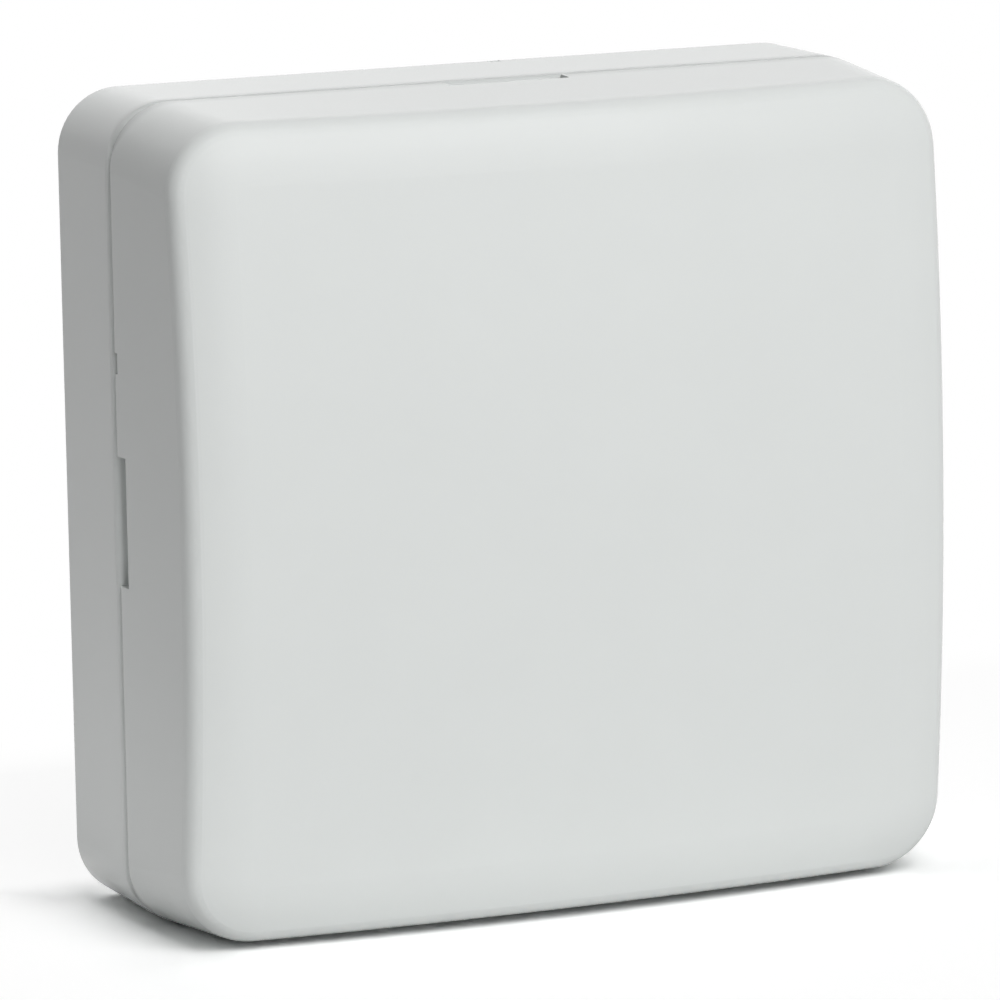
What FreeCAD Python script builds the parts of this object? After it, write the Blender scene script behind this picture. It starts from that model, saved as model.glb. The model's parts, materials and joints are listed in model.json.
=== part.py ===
import FreeCAD, Part
import math
import os

# Glass break sensor: a square two-shell plastic box with a board, a microphone, a radio and a cell.
# X runs to the right seen from the front, the front faces -Y and Z is up.
# The origin is the middle of the flat back face. A depth is a distance from the back face forwards.
# Lengths are millimetres, angles are degrees, places are (x, z) pairs on the plan seen from the front.

vec = FreeCAD.Vector

# Outside of the closed box
width = 80.0
height = 78.5
depth = 33.7
seam_depth = 13.8
seam_gap = 0.2
seam_corner_radius = 6.1
front_corner_radius = 7.3
cover_draft = 2.9
crown_radius = 286.0
edge_slope_reach = 3.4
edge_slope_fall = 1.13
side_edge_rounding = 2.1
front_edge_rounding = 14.0
inner_edge_rounding = 2.8
base_rim_rounding = 0.7
cover_rim_rounding = 0.4
rear_edge_rounding = 0.6
least_corner = 0.3

# Shell walls and the half-lap joint between them
base_wall = 2.2
base_floor = 2.4
cover_wall = 2.0
cover_front = 2.0
lip_wall = 1.0
lip_height = 2.2
lip_clearance = 0.2

# Pry slots in the middle of each side, the key notch on the left and the gate mark behind the top
pry_slot_length = 12.4
pry_slot_width = 2.2
key_notch_length = 2.0
key_notch_width = 0.9
key_notch_height = 15.0
gate_mark_width = 1.3
gate_mark_length = 0.8
gate_mark_sink = 0.4
gate_mark_offset = 5.0

# Snap tongues on the base and their pockets in the cover
tongue_width = 7.0
tongue_thickness = 1.4
tongue_rise = 6.2
tongue_offset = 24.0
tongue_clearance = 0.2
barb_reach = 0.5
barb_length = 2.0
barb_lean = 0.125
pocket_depth = 0.5
pocket_margin = 0.4

# Wall fixing and label on the back
wall_screw_spacing = 60.3
wall_screw_hole_radius = 2.25
wall_boss_wall = 2.2
wall_boss_height = 2.0
label_width = 44.0
label_height = 22.0
label_thickness = 0.15
label_recess = 0.3
label_from_bottom = 16.75
label_corner_radius = 2.0
label_clearance = 0.4

# Circuit board and its screws
board_thickness = 1.6
board_standoff = 6.2
board_side_clearance = 1.8
board_top_clearance = 0.65
board_battery_clearance = 2.8
board_corner_radius = 3.0
board_notch_clearance = 1.0
board_screw_radius = 1.25
board_screw_fit = 0.05
board_screw_length = 5.5
screw_head_radius = 2.4
screw_head_height = 1.7
screw_head_rounding = 0.75
screw_tip_chamfer = 0.6
screw_recess_width = 0.6
screw_recess_length = 2.8
screw_recess_depth = 0.9
board_post_radius = 3.0
board_post_inset = 5.6
board_post_edge = 0.5
board_post_floor = 1.2

# Battery cell, contacts and cradle
battery_radius = 8.5
battery_body_length = 33.2
battery_nub_length = 1.3
battery_nub_radius = 3.2
battery_nub_rounding = 0.4
battery_sleeve_wall = 0.12
battery_can_wall = 0.3
battery_floor_gap = 0.6
battery_tongue_gap = 2.05
battery_fit = 0.15
contact_thickness = 0.4
contact_width = 12.0
contact_gap = 0.05
contact_tab_width = 2.0
contact_tab_lap = 3.0
carrier_thickness = 1.6
carrier_width = 14.0
carrier_rise = 5.5
saddle_offset = 9.0
saddle_thickness = 2.0
saddle_width = 19.0
saddle_drop = 3.0

# Coil springs and the wound antenna: wire radius, coil radius to the wire's middle, turns
battery_spring_wire = 0.35
battery_spring_coil = 3.2
battery_spring_turns = 2.75
battery_spring_room = 4.0
cover_spring_wire = 0.15
cover_spring_coil = 1.2
cover_spring_turns = 2.5
wall_spring_wire = 0.3
wall_spring_coil = 3.75
wall_spring_turns = 2.5
antenna_wire = 0.4
antenna_coil_radius = 2.4
antenna_pitch = 2.1
antenna_turns = 6.5
antenna_height = 3.6

# Cover switch: its plunger is held in by a post inside the cover
tamper_size = 6.2
tamper_body_height = 3.8
tamper_plunger_radius = 1.75
tamper_plunger_fit = 0.06
tamper_plunger_proud = 5.0
tamper_cap_radius = 2.3
tamper_cap_height = 0.9
tamper_cap_rounding = 0.25
tamper_bore_depth = 3.4
tamper_spring_room = 2.2
tamper_from_right = 5.0
tamper_from_top = 18.4
post_gap = 0.05
post_size = 5.0
post_rib = 1.3

# Wall switch: its plunger passes through the back and is flush with it against a wall
wall_plunger_radius = 2.2
wall_plunger_fit = 0.08
wall_plunger_chamfer = 0.25
wall_flange_radius = 4.3
wall_flange_height = 1.0
wall_travel = 1.5
wall_flange_gap = 0.1
wall_pin_radius = 0.9
wall_switch_size = 4.5
wall_switch_height = 2.0
wall_switch_button_radius = 1.0
wall_switch_button_height = 0.5
wall_switch_gap = 0.05
collar_wall = 1.0
collar_fit = 0.4
collar_height = 3.4
wall_switch_from_middle = -14.0
wall_switch_from_top = 14.4

# Configuration switch with four sliders
dip_from_middle = -17.0
dip_from_bottom = 8.2
dip_pitch = 2.54
dip_count = 4
dip_margin = 0.8
dip_width = 6.6
dip_height = 3.4
dip_slider_width = 1.1
dip_slider_length = 1.2
dip_slider_proud = 0.4
dip_slider_depth = 1.0
dip_slider_rounding = 0.12
dip_travel = 1.8
dip_fit = 0.06

# Enrol button
enrol_from_middle = 9.5
enrol_from_bottom = 7.7
enrol_size = 6.0
enrol_height = 3.5
enrol_chamfer = 0.4
enrol_button_radius = 1.75
enrol_button_rounding = 0.25
enrol_button_proud = 1.3
enrol_button_depth = 1.4
enrol_travel = 0.5
enrol_fit = 0.06
enrol_leg_width = 0.7
enrol_leg_reach = 1.0
enrol_leg_spacing = 4.0
enrol_leg_thickness = 0.3

# Microphone in its rubber boot
microphone_from_middle = -24.0
microphone_from_top = 17.4
microphone_radius = 4.85
microphone_height = 6.5
microphone_rounding = 0.3
microphone_felt_radius = 4.2
microphone_felt_thickness = 0.4
boot_wall = 1.3
boot_rounding = 0.5
boot_floor = 0.6
boot_fit = 0.05
sound_hole_radius = 0.75
sound_hole_spacing = 3.2
sound_hole_count = 5
sound_hole_setback = 8.3

# Board components, set out from the board's edges and from the middle of its width
controller_from_middle = -1.0
controller_from_bottom = 14.2
controller_size = 7.0
controller_thickness = 1.2
controller_lead_pitch = 0.8
controller_leads_per_side = 8
amplifier_from_middle = -13.0
amplifier_from_bottom = 16.7
amplifier_size = (5.0, 4.0)
amplifier_thickness = 1.5
amplifier_lead_pitch = 1.27
amplifier_leads_per_side = 4
regulator_from_middle = 21.4
regulator_from_bottom = 4.7
regulator_size = (6.5, 3.5)
regulator_thickness = 1.6
regulator_lead_pitch = 2.3
regulator_lead_count = 3
chip_bevel = 0.16
lead_width = 0.32
lead_thickness = 0.15
lead_reach = 1.0
lead_lift = 0.1
crystal_from_middle = 10.5
crystal_from_bottom = 17.7
crystal_size = (10.0, 3.6)
crystal_height = 3.2
crystal_rounding = 0.4
crystal_corner_radius = 1.7
radio_from_middle = 2.0
radio_from_top = 10.4
radio_size = (18.0, 14.0)
radio_thickness = 0.8
shield_size = (14.0, 10.5)
shield_height = 2.2
shield_rounding = 0.5
antenna_from_left = 9.5
antenna_from_top = 4.9
capacitor_from_middle = 20.2
capacitor_from_bottom = 17.9
capacitor_radius = 3.15
capacitor_height = 6.6
capacitor_rounding = 0.5
capacitor_base_size = 6.8
capacitor_base_height = 1.0
capacitor_base_cut = 1.4
inductor_from_middle = 20.2
inductor_from_bottom = 10.8
inductor_size = 5.6
inductor_height = 2.8
inductor_cut = 1.2
led_from_right = 18.5
led_from_top = 12.9
led_radius = 1.5
led_flange_radius = 1.9
led_flange_height = 0.8
led_height = 4.2
header_from_right = 16.0
header_from_top = 4.9
header_pitch = 2.54
header_columns = 3
header_rows = 2
header_block_height = 2.5
header_pin_size = 0.64
header_pin_above = 6.0
header_pin_below = 1.5
header_hole_radius = 0.5
jumper_height = 6.4
jumper_wall = 0.8
jumper_chamfer = 0.3
jumper_fit = 0.06
chip_part_size = (1.25, 2.0)
chip_resistor_height = 0.5
chip_capacitor_height = 0.9
chip_part_spacing = 2.6

# Rows of chip parts, each set out from the middle of the component that it serves
controller_row_offset = (0.0, 6.6)
controller_row_count = 6
controller_column_offset = (-6.6, -0.1)
controller_column_count = 4
crystal_row_offset = (0.0, -4.4)
crystal_row_count = 3
amplifier_row_offset = (-6.4, -2.9)
amplifier_row_count = 3
inductor_column_offset = (-5.0, 0.5)
inductor_column_count = 2
radio_column_offset = (-12.7, -2.1)
radio_column_count = 3

# How far a cut runs past a face, how far a joined piece runs into its neighbour, and what counts as nothing
overrun = 1.0
root = 0.5
tiny = 1e-4
crown_tolerance = 0.01

# Levels and edges that the sizes above set
rim_depth = seam_depth + seam_gap
lip_inset = base_wall - lip_wall
rim_wall = lip_inset - lip_clearance
lip_top = seam_depth + lip_height
tongue_top = seam_depth + tongue_rise
draft_slope = math.tan(math.radians(cover_draft))
tongue_barb_inset = cover_wall + draft_slope * tongue_rise + tongue_clearance - barb_lean
tongue_inset = tongue_barb_inset + barb_reach
tongue_inner_inset = tongue_inset + tongue_thickness
board_back = base_floor + board_standoff
board_front = board_back + board_thickness
battery_depth = base_floor + battery_floor_gap + battery_radius
battery_height = -(height / 2 - tongue_inner_inset - battery_tongue_gap - battery_radius)
battery_length = battery_body_length + battery_nub_length
battery_left = -battery_length / 2
battery_right = battery_length / 2
carrier_top = battery_depth + carrier_rise
saddle_top = battery_depth - saddle_drop
board_half_width = width / 2 - base_wall - board_side_clearance
board_top = height / 2 - tongue_inner_inset - board_top_clearance
board_bottom = battery_height + battery_radius + board_battery_clearance
board_notch_radius = wall_screw_hole_radius + wall_boss_wall + board_notch_clearance
wall_screw_places = [(side * wall_screw_spacing / 2, 0.0) for side in (-1, 1)]
board_screw_places = [
    (-(board_half_width - board_post_inset), board_top - board_post_inset),
    (board_half_width - board_post_inset, board_top - board_post_inset),
    (0.0, board_bottom + board_post_radius + board_post_edge),
]
board_middle = (board_top + board_bottom) / 2
board_post_low = base_floor + board_post_floor
label_place = (0.0, -height / 2 + label_from_bottom)
sound_hole_depth = depth - sound_hole_setback
tamper_plunger_top = board_front + tamper_body_height + tamper_plunger_proud
tamper_place = (board_half_width - tamper_from_right, board_top - tamper_from_top)
wall_switch_place = (wall_switch_from_middle, board_top - wall_switch_from_top)
dip_place = (dip_from_middle, board_bottom + dip_from_bottom)
enrol_place = (enrol_from_middle, board_bottom + enrol_from_bottom)
microphone_place = (microphone_from_middle, board_top - microphone_from_top)
controller_place = (controller_from_middle, board_bottom + controller_from_bottom)
amplifier_place = (amplifier_from_middle, board_bottom + amplifier_from_bottom)
regulator_place = (regulator_from_middle, board_bottom + regulator_from_bottom)
crystal_place = (crystal_from_middle, board_bottom + crystal_from_bottom)
capacitor_place = (capacitor_from_middle, board_bottom + capacitor_from_bottom)
inductor_place = (inductor_from_middle, board_bottom + inductor_from_bottom)
radio_place = (radio_from_middle, board_top - radio_from_top)
antenna_start = (-board_half_width + antenna_from_left, board_top - antenna_from_top)
led_place = (board_half_width - led_from_right, board_top - led_from_top)
header_place = (board_half_width - header_from_right, board_top - header_from_top)
wall_flange_low = base_floor + wall_travel + wall_flange_gap
crown_centre_depth = depth - crown_radius
positive_plate_x = battery_right + contact_gap
negative_plate_x = battery_left - battery_spring_room - contact_thickness


def at(x, level, z):
    """Point at a place on the plan and a depth."""
    return vec(x, -level, z)


def block(x_range, depth_range, z_range):
    """Box between two values on each axis."""
    (x0, x1), (d0, d1), (z0, z1) = x_range, depth_range, z_range
    return Part.makeBox(x1 - x0, d1 - d0, z1 - z0, at(x0, d1, z0))


def slab(place, size, low, high):
    """Box centred on a place, with its sides and its two depths."""
    half_x, half_z = size[0] / 2, size[1] / 2
    return block((place[0] - half_x, place[0] + half_x), (low, high), (place[1] - half_z, place[1] + half_z))


def rod(radius, place, low, high):
    """Cylinder through the depth."""
    return Part.makeCylinder(radius, high - low, at(place[0], low, place[1]), vec(0, -1, 0))


def rod_along_x(radius, x0, x1, level, z):
    """Cylinder along X."""
    return Part.makeCylinder(radius, x1 - x0, at(x0, level, z), vec(1, 0, 0))


def ring(outer, inner, place, low, high):
    """Tube through the depth."""
    return rod(outer, place, low, high).cut(rod(inner, place, low - overrun, high + overrun))


def outline(half_width, half_height, radius, level, place=(0.0, 0.0)):
    """Rounded rectangle as a closed wire at one depth."""
    corners = [(1, 1), (-1, 1), (-1, -1), (1, -1)]
    edges = []
    ends = []
    for index, (sx, sz) in enumerate(corners):
        cx = place[0] + sx * (half_width - radius)
        cz = place[1] + sz * (half_height - radius)
        start_angle = math.radians(90 * index)
        points = []
        for step in range(3):
            angle = start_angle + step * math.pi / 4
            points.append(at(cx + radius * math.cos(angle), level, cz + radius * math.sin(angle)))
        ends.append(points)
    for index, points in enumerate(ends):
        edges.append(Part.Arc(*points).toShape())
        edges.append(Part.LineSegment(points[2], ends[(index + 1) % 4][0]).toShape())
    return Part.Wire(edges)


def rounded_plate(half_width, half_height, radius, low, high, place=(0.0, 0.0)):
    """Rounded rectangle with straight sides between two depths."""
    face = Part.Face(outline(half_width, half_height, radius, low, place))
    return face.extrude(vec(0, low - high, 0))


def base_plate(inset, low, high):
    """The base's outline moved inwards, between two depths."""
    return rounded_plate(width / 2 - inset, height / 2 - inset, seam_corner_radius - inset, low, high)


def cover_outline(inset, level):
    """The cover's drafted outline moved inwards, at one depth."""
    share = (level - seam_depth) / (depth - seam_depth)
    radius = seam_corner_radius + share * (front_corner_radius - seam_corner_radius) - inset
    shrink = inset + draft_slope * (level - seam_depth)
    return outline(width / 2 - shrink, height / 2 - shrink, radius, level)


def edges_at_depth(shape, level):
    """Edges that lie wholly at one depth."""
    found = []
    for edge in shape.Edges:
        low, high = edge.BoundBox.YMin, edge.BoundBox.YMax
        if abs(low + level) < tiny and abs(high + level) < tiny:
            found.append(edge)
    return found


def crown_edges(shape, radius):
    """Edges that lie on the sphere of the crowned front."""
    centre = at(0, crown_centre_depth, 0)
    found = []
    for edge in shape.Edges:
        middle = edge.valueAt((edge.FirstParameter + edge.LastParameter) / 2)
        points = [vertex.Point for vertex in edge.Vertexes] + [middle]
        if all(abs((point - centre).Length - radius) < crown_tolerance for point in points):
            found.append(edge)
    return found


def crowned_block(inset, radius, start):
    """Drafted block from one depth to the crowned front."""
    high = depth + overrun
    walls = Part.makeLoft([cover_outline(inset, start), cover_outline(inset, high)], True, True)
    return walls.common(Part.makeSphere(radius, at(0, crown_centre_depth, 0)))


def soft_edged_block():
    """Crowned block with a slope round its front, rounded tightly to the sides and widely to the front."""
    plain = crowned_block(0.0, crown_radius, rim_depth)
    sloped = plain.makeChamfer(edge_slope_fall, edge_slope_reach, crown_edges(plain, crown_radius))
    slopes = [face for face in sloped.Faces if len(crown_edges(face, crown_radius)) == 1]
    crown = crown_edges(sloped, crown_radius)
    foot = []
    for edge in sum([face.Edges for face in slopes], []):
        beside = [face for face in slopes if any(edge.isSame(other) for other in face.Edges)]
        if len(beside) == 1 and not any(edge.isSame(other) for other in crown):
            foot.append(edge)
    rounded = sloped.makeFillet(side_edge_rounding, foot)
    return rounded.makeFillet(front_edge_rounding, crown_edges(rounded, crown_radius))


def limited(rounding, corner_radius):
    """A rounding kept inside the corner that it runs round."""
    return min(rounding, corner_radius - least_corner)


def side_boxes(length, reach, low, high):
    """One box on the middle of each of the four sides, reaching in from outside."""
    boxes = []
    for sign in (-1, 1):
        x = sorted((sign * (width / 2 + overrun), sign * (width / 2 - reach)))
        z = sorted((sign * (height / 2 + overrun), sign * (height / 2 - reach)))
        boxes.append(block(x, (low, high), (-length / 2, length / 2)))
        boxes.append(block((-length / 2, length / 2), (low, high), z))
    return boxes


def tongue_places():
    """The x of each snap tongue with the side, top or bottom, that it stands on."""
    return [(x, side) for side in (-1, 1) for x in (-tongue_offset, tongue_offset)]


# Shells

def front_cover():
    """Front shell with slots, snap pockets, sound holes and the post for the cover switch."""
    outside = soft_edged_block()
    outside = outside.makeFillet(cover_rim_rounding, edges_at_depth(outside, rim_depth))
    inner_radius = crown_radius - cover_front
    inside = crowned_block(cover_wall, inner_radius, rim_depth - overrun)
    inner_rounding = limited(inner_edge_rounding, front_corner_radius - cover_wall)
    inside = inside.makeFillet(inner_rounding, crown_edges(inside, inner_radius))
    shell = outside.cut(inside)
    rebate = base_plate(rim_wall, rim_depth - overrun, lip_top + lip_clearance)
    shell = shell.cut(rebate)
    slots = side_boxes(pry_slot_length, lip_inset, rim_depth - overrun, rim_depth + pry_slot_width)
    notch_z = (key_notch_height - key_notch_length / 2, key_notch_height + key_notch_length / 2)
    notch_x = (-width / 2 - overrun, -width / 2 + lip_inset)
    notch = block(notch_x, (rim_depth - overrun, rim_depth + key_notch_width), notch_z)
    shell = shell.cut(slots + [notch])
    shell = shell.cut([snap_pocket(x, side) for x, side in tongue_places()])
    shell = shell.cut(sound_holes())
    return shell.fuse(cover_post()).removeSplitter()


def snap_pocket(x, side):
    """Pocket in the cover's inner wall over one tongue's barb."""
    middle = tongue_top - barb_length / 2
    inner_z = height / 2 - cover_wall - draft_slope * (middle - seam_depth)
    z = sorted((side * (inner_z - overrun), side * (inner_z + pocket_depth)))
    half = tongue_width / 2 + pocket_margin
    level = (middle - barb_length / 2 - pocket_margin, middle + barb_length / 2 + pocket_margin)
    return block((x - half, x + half), level, z)


def sound_holes():
    """Row of round holes through the underside of the cover."""
    holes = []
    first = -(sound_hole_count - 1) / 2
    for index in range(sound_hole_count):
        x = (first + index) * sound_hole_spacing
        base = at(x, sound_hole_depth, -height / 2)
        reach = draft_slope * (sound_hole_depth - seam_depth) + cover_wall + overrun
        holes.append(Part.makeCylinder(sound_hole_radius, reach, base))
    return holes


def cover_post():
    """Cross-shaped post from inside the cover's front wall to the switch plunger."""
    low = tamper_plunger_top + post_gap
    wide = slab(tamper_place, (post_size, post_rib), low, depth)
    tall = slab(tamper_place, (post_rib, post_size), low, depth)
    middle_of_wall = Part.makeSphere(crown_radius - cover_front / 2, at(0, crown_centre_depth, 0))
    return wide.fuse(tall).common(middle_of_wall)


def rear_base():
    """Rear shell with its lip, tongues, board posts, wall bosses and battery cradle."""
    shell = base_plate(0.0, 0.0, seam_depth)
    shell = shell.makeFillet(rear_edge_rounding, edges_at_depth(shell, 0.0))
    shell = shell.makeFillet(base_rim_rounding, edges_at_depth(shell, seam_depth))
    lip = base_plate(lip_inset, base_floor, lip_top)
    lip = lip.makeChamfer(lip_clearance, edges_at_depth(lip, lip_top))
    shell = shell.fuse(lip).cut(base_plate(base_wall, base_floor, lip_top + overrun))
    foot = base_floor - root
    collar_inner = wall_flange_radius + collar_fit
    solids = [snap_tongue(x, side) for x, side in tongue_places()]
    solids += [rod(board_post_radius, place, foot, board_back) for place in board_screw_places]
    solids += [rod(wall_screw_hole_radius + wall_boss_wall, place, foot, base_floor + wall_boss_height)
               for place in wall_screw_places]
    solids.append(ring(collar_inner + collar_wall, collar_inner, wall_switch_place,
                       foot, base_floor + collar_height))
    solids += battery_saddles() + contact_carriers()
    shell = shell.fuse(solids)
    holes = [rod(wall_screw_hole_radius, place, -overrun, seam_depth) for place in wall_screw_places]
    holes += [rod(board_screw_radius + board_screw_fit, place, board_post_low, board_back + overrun)
              for place in board_screw_places]
    holes.append(rod(wall_plunger_radius + wall_plunger_fit, wall_switch_place,
                     -overrun, base_floor + overrun))
    holes.append(rounded_plate(label_width / 2 + label_clearance, label_height / 2 + label_clearance,
                               label_corner_radius + label_clearance, -overrun, label_recess,
                               label_place))
    mark_x = (gate_mark_offset - gate_mark_width / 2, gate_mark_offset + gate_mark_width / 2)
    mark_level = (rear_edge_rounding, rear_edge_rounding + gate_mark_length)
    holes.append(block(mark_x, mark_level, (height / 2 - gate_mark_sink, height / 2 + overrun)))
    return shell.cut(holes).removeSplitter()


def snap_tongue(x, side):
    """Upright tongue with a sloped barb that looks outwards."""
    outer = height / 2 - tongue_inset
    inner = outer - tongue_thickness
    barb = outer + barb_reach
    middle = tongue_top - barb_length / 2
    profile = [(base_floor - root, inner), (base_floor - root, outer), (tongue_top - barb_length, outer),
               (middle, barb), (tongue_top, outer), (tongue_top, inner)]
    points = [at(x - tongue_width / 2, level, side * z) for level, z in profile]
    face = Part.Face(Part.makePolygon(points + points[:1]))
    return face.extrude(vec(tongue_width, 0, 0))


def battery_saddles():
    """Two ribs on the floor, hollowed to the cell."""
    saddles = []
    half = saddle_width / 2
    hollow = rod_along_x(battery_radius + battery_fit, -width, width, battery_depth, battery_height)
    for side in (-1, 1):
        x = (side * saddle_offset - saddle_thickness / 2, side * saddle_offset + saddle_thickness / 2)
        rib = block(x, (base_floor - root, saddle_top), (battery_height - half, battery_height + half))
        saddles.append(rib.cut(hollow))
    return saddles


def contact_carriers():
    """Upright walls behind the two contact plates."""
    half = carrier_width / 2
    z = (battery_height - half, battery_height + half)
    level = (base_floor - root, carrier_top)
    right = positive_plate_x + contact_thickness
    left = negative_plate_x
    return [block((right, right + carrier_thickness), level, z),
            block((left - carrier_thickness, left), level, z)]


def back_label():
    """Blank label in its recess on the back."""
    return rounded_plate(label_width / 2, label_height / 2, label_corner_radius,
                         label_recess - label_thickness, label_recess, label_place)


# Board and screws

def circuit_board():
    """Board with rounded corners, notches for the wall screws and its screw and pin holes."""
    board = rounded_plate(board_half_width, (board_top - board_bottom) / 2, board_corner_radius,
                          board_back, board_front, (0.0, board_middle))
    low, high = board_back - overrun, board_front + overrun
    cuts = []
    for x, z in wall_screw_places:
        cuts.append(rod(board_notch_radius, (x, z), low, high))
        edge = sorted((x, math.copysign(width / 2, x)))
        cuts.append(block(edge, (low, high), (z - board_notch_radius, z + board_notch_radius)))
    cuts += [rod(board_screw_radius + board_screw_fit, place, low, high) for place in board_screw_places]
    cuts += [rod(header_hole_radius, place, low, high) for place in header_pin_places()]
    return board.cut(cuts)


def board_screws():
    """Cross-recess pan screws, each from its head to the bottom of its post."""
    screws = []
    tip = board_front - board_screw_length
    top = board_front + screw_head_height
    recess = (top - screw_recess_depth, top + overrun)
    for place in board_screw_places:
        head = rod(screw_head_radius, place, board_front, top)
        head = head.makeFillet(screw_head_rounding, edges_at_depth(head, top))
        shank = rod(board_screw_radius, place, tip, board_front + root)
        shank = shank.makeChamfer(screw_tip_chamfer, edges_at_depth(shank, tip))
        cross = [slab(place, (screw_recess_length, screw_recess_width), *recess),
                 slab(place, (screw_recess_width, screw_recess_length), *recess)]
        screws.append(head.fuse(shank).cut(cross))
    return Part.makeCompound(screws)


# Battery and contacts

def cell_body(radius, end_gap):
    """Round body of the cell, shortened at both ends."""
    x1 = battery_left + battery_body_length
    return rod_along_x(radius, battery_left + end_gap, x1 - end_gap, battery_depth, battery_height)


def battery_can():
    """Steel can, hollow for what it holds."""
    return cell_body(battery_radius - battery_sleeve_wall, 0.0).cut(battery_core())


def battery_core():
    """Rolled electrodes that fill the can."""
    return cell_body(battery_radius - battery_sleeve_wall - battery_can_wall, battery_can_wall)


def battery_sleeve():
    """Printed film round the can, without print."""
    return cell_body(battery_radius, 0.0).cut(cell_body(battery_radius - battery_sleeve_wall, -overrun))


def battery_terminal():
    """Raised positive end."""
    x0 = battery_left + battery_body_length
    nub = rod_along_x(battery_nub_radius, x0, battery_right, battery_depth, battery_height)
    rim = [edge for edge in nub.Edges if edge.BoundBox.XMin > battery_right - tiny]
    return nub.makeFillet(battery_nub_rounding, rim)


def contact_plate(x0):
    """Flat spring plate with a tab that laps onto the board."""
    half = contact_width / 2
    x = (x0, x0 + contact_thickness)
    z_top = battery_height + half
    plate = block(x, (battery_depth - half, battery_depth + half), (battery_height - half, z_top))
    tab = block(x, (board_front, board_front + contact_tab_width),
                (z_top - root, board_bottom + contact_tab_lap))
    return plate.fuse(tab).removeSplitter()


# Wound wire

def arc_between(start, tangent, end):
    """Arc that leaves its start along a tangent and reaches its end."""
    chord = end - start
    length = chord.Length
    along = chord * (1.0 / length)
    across = tangent - along * tangent.dot(along)
    if across.Length < tiny:
        return Part.LineSegment(start, end).toShape()
    half_angle = math.atan2(across.Length, tangent.dot(along))
    rise = across * (math.tan(half_angle / 2) * length / 2 / across.Length)
    return Part.Arc(start, (start + end) * 0.5 + rise, end).toShape()


def biarc(start, start_tangent, end, end_tangent):
    """Two arcs, tangent to each other, between two points with given directions."""
    span = end - start
    total = start_tangent + end_tangent
    lead = span.dot(total)
    spread = 2 * (1 - start_tangent.dot(end_tangent))
    reach = (math.sqrt(lead * lead + spread * span.dot(span)) - lead) / spread
    first = start + start_tangent * reach
    second = end - end_tangent * reach
    joint = (first + second) * 0.5
    joint_tangent = (second - first) * (1.0 / (second - first).Length)
    return [arc_between(start, start_tangent, joint), arc_between(joint, joint_tangent, end)]


def wound_wire(name, origin, axis, across, wire, coil, pitch, quarter_turns, lead):
    """Helix about an axis in quarter turns, as one tube with a straight run square to it at each end."""
    third = axis.cross(across)

    def point(turn):
        angle = turn * math.pi / 2
        outwards = across * math.cos(angle) + third * math.sin(angle)
        return origin + axis * (pitch * turn / 4) + outwards * coil

    def direction(turn):
        angle = turn * math.pi / 2
        round_part = (third * math.cos(angle) - across * math.sin(angle)) * coil
        along = round_part + (axis * (pitch / (2 * math.pi)))
        if turn in (0, quarter_turns):
            along = round_part
        return along * (1.0 / along.Length)

    start, end = point(0), point(quarter_turns)
    first = start - direction(0) * lead
    edges = [Part.LineSegment(first, start).toShape()]
    for turn in range(quarter_turns):
        edges += biarc(point(turn), direction(turn), point(turn + 1), direction(turn + 1))
    edges.append(Part.LineSegment(end, end + direction(quarter_turns) * lead).toShape())
    path = Part.Wire(edges)
    section = Part.Wire([Part.Circle(first, direction(0), wire).toShape()])
    tube = path.makePipeShell([section], True, False)
    gap = least_gap(edges, wire)
    print(name, "least gap to itself", round(gap, 2), "mm, volume", round(tube.Volume, 2),
          "of", round(math.pi * wire * wire * path.Length, 2), "mm3")
    return tube


def least_gap(edges, wire):
    """Smallest gap between stretches of one tube that are not next to each other along it."""
    points = []
    travelled = 0.0
    for edge in edges:
        count = max(2, int(edge.Length / wire) + 1)
        for index, place in enumerate(edge.discretize(count + 1)[:-1]):
            points.append((travelled + edge.Length * index / count, place))
        travelled += edge.Length
    gap = travelled
    for index, (here, place) in enumerate(points):
        for there, other in points[index + 1:]:
            apart = (other - place).Length - 2 * wire
            if there - here > 4 * math.pi * wire and apart < gap:
                gap = apart
    return gap


def battery_spring():
    """Coil that presses the cell against the positive plate."""
    low = negative_plate_x + contact_thickness + battery_spring_wire
    high = battery_left - contact_gap - battery_spring_wire
    quarters = round(battery_spring_turns * 4)
    pitch = (high - low) * 4 / quarters
    origin = at(low, battery_depth, battery_height)
    run = 2 * battery_spring_wire
    return wound_wire("battery_spring", origin, vec(1, 0, 0), vec(0, 0, 1), battery_spring_wire,
                      battery_spring_coil, pitch, quarters, run)


def spring_through_depth(name, place, low, high, wire, coil, turns):
    """Compression spring between two depths."""
    quarters = round(turns * 4)
    room = high - low - 2 * wire
    run = 2 * wire
    origin = at(place[0], low + wire, place[1])
    return wound_wire(name, origin, vec(0, -1, 0), vec(1, 0, 0), wire, coil,
                      room * 4 / quarters, quarters, run)


def antenna_coil():
    """Wound antenna lying along the board's top edge, standing on two legs."""
    quarters = round(antenna_turns * 4)
    origin = at(antenna_start[0], board_front + antenna_height, antenna_start[1])
    return wound_wire("antenna_coil", origin, vec(1, 0, 0), vec(0, 0, 1), antenna_wire,
                      antenna_coil_radius, antenna_pitch, quarters, antenna_height)


# Cover switch

def tamper_switch_body():
    """Square switch body with a bore for the plunger."""
    top = board_front + tamper_body_height
    body = slab(tamper_place, (tamper_size, tamper_size), board_front, top)
    bore = rod(tamper_plunger_radius + tamper_plunger_fit, tamper_place,
               top - tamper_bore_depth, top + overrun)
    return body.cut(bore)


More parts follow.
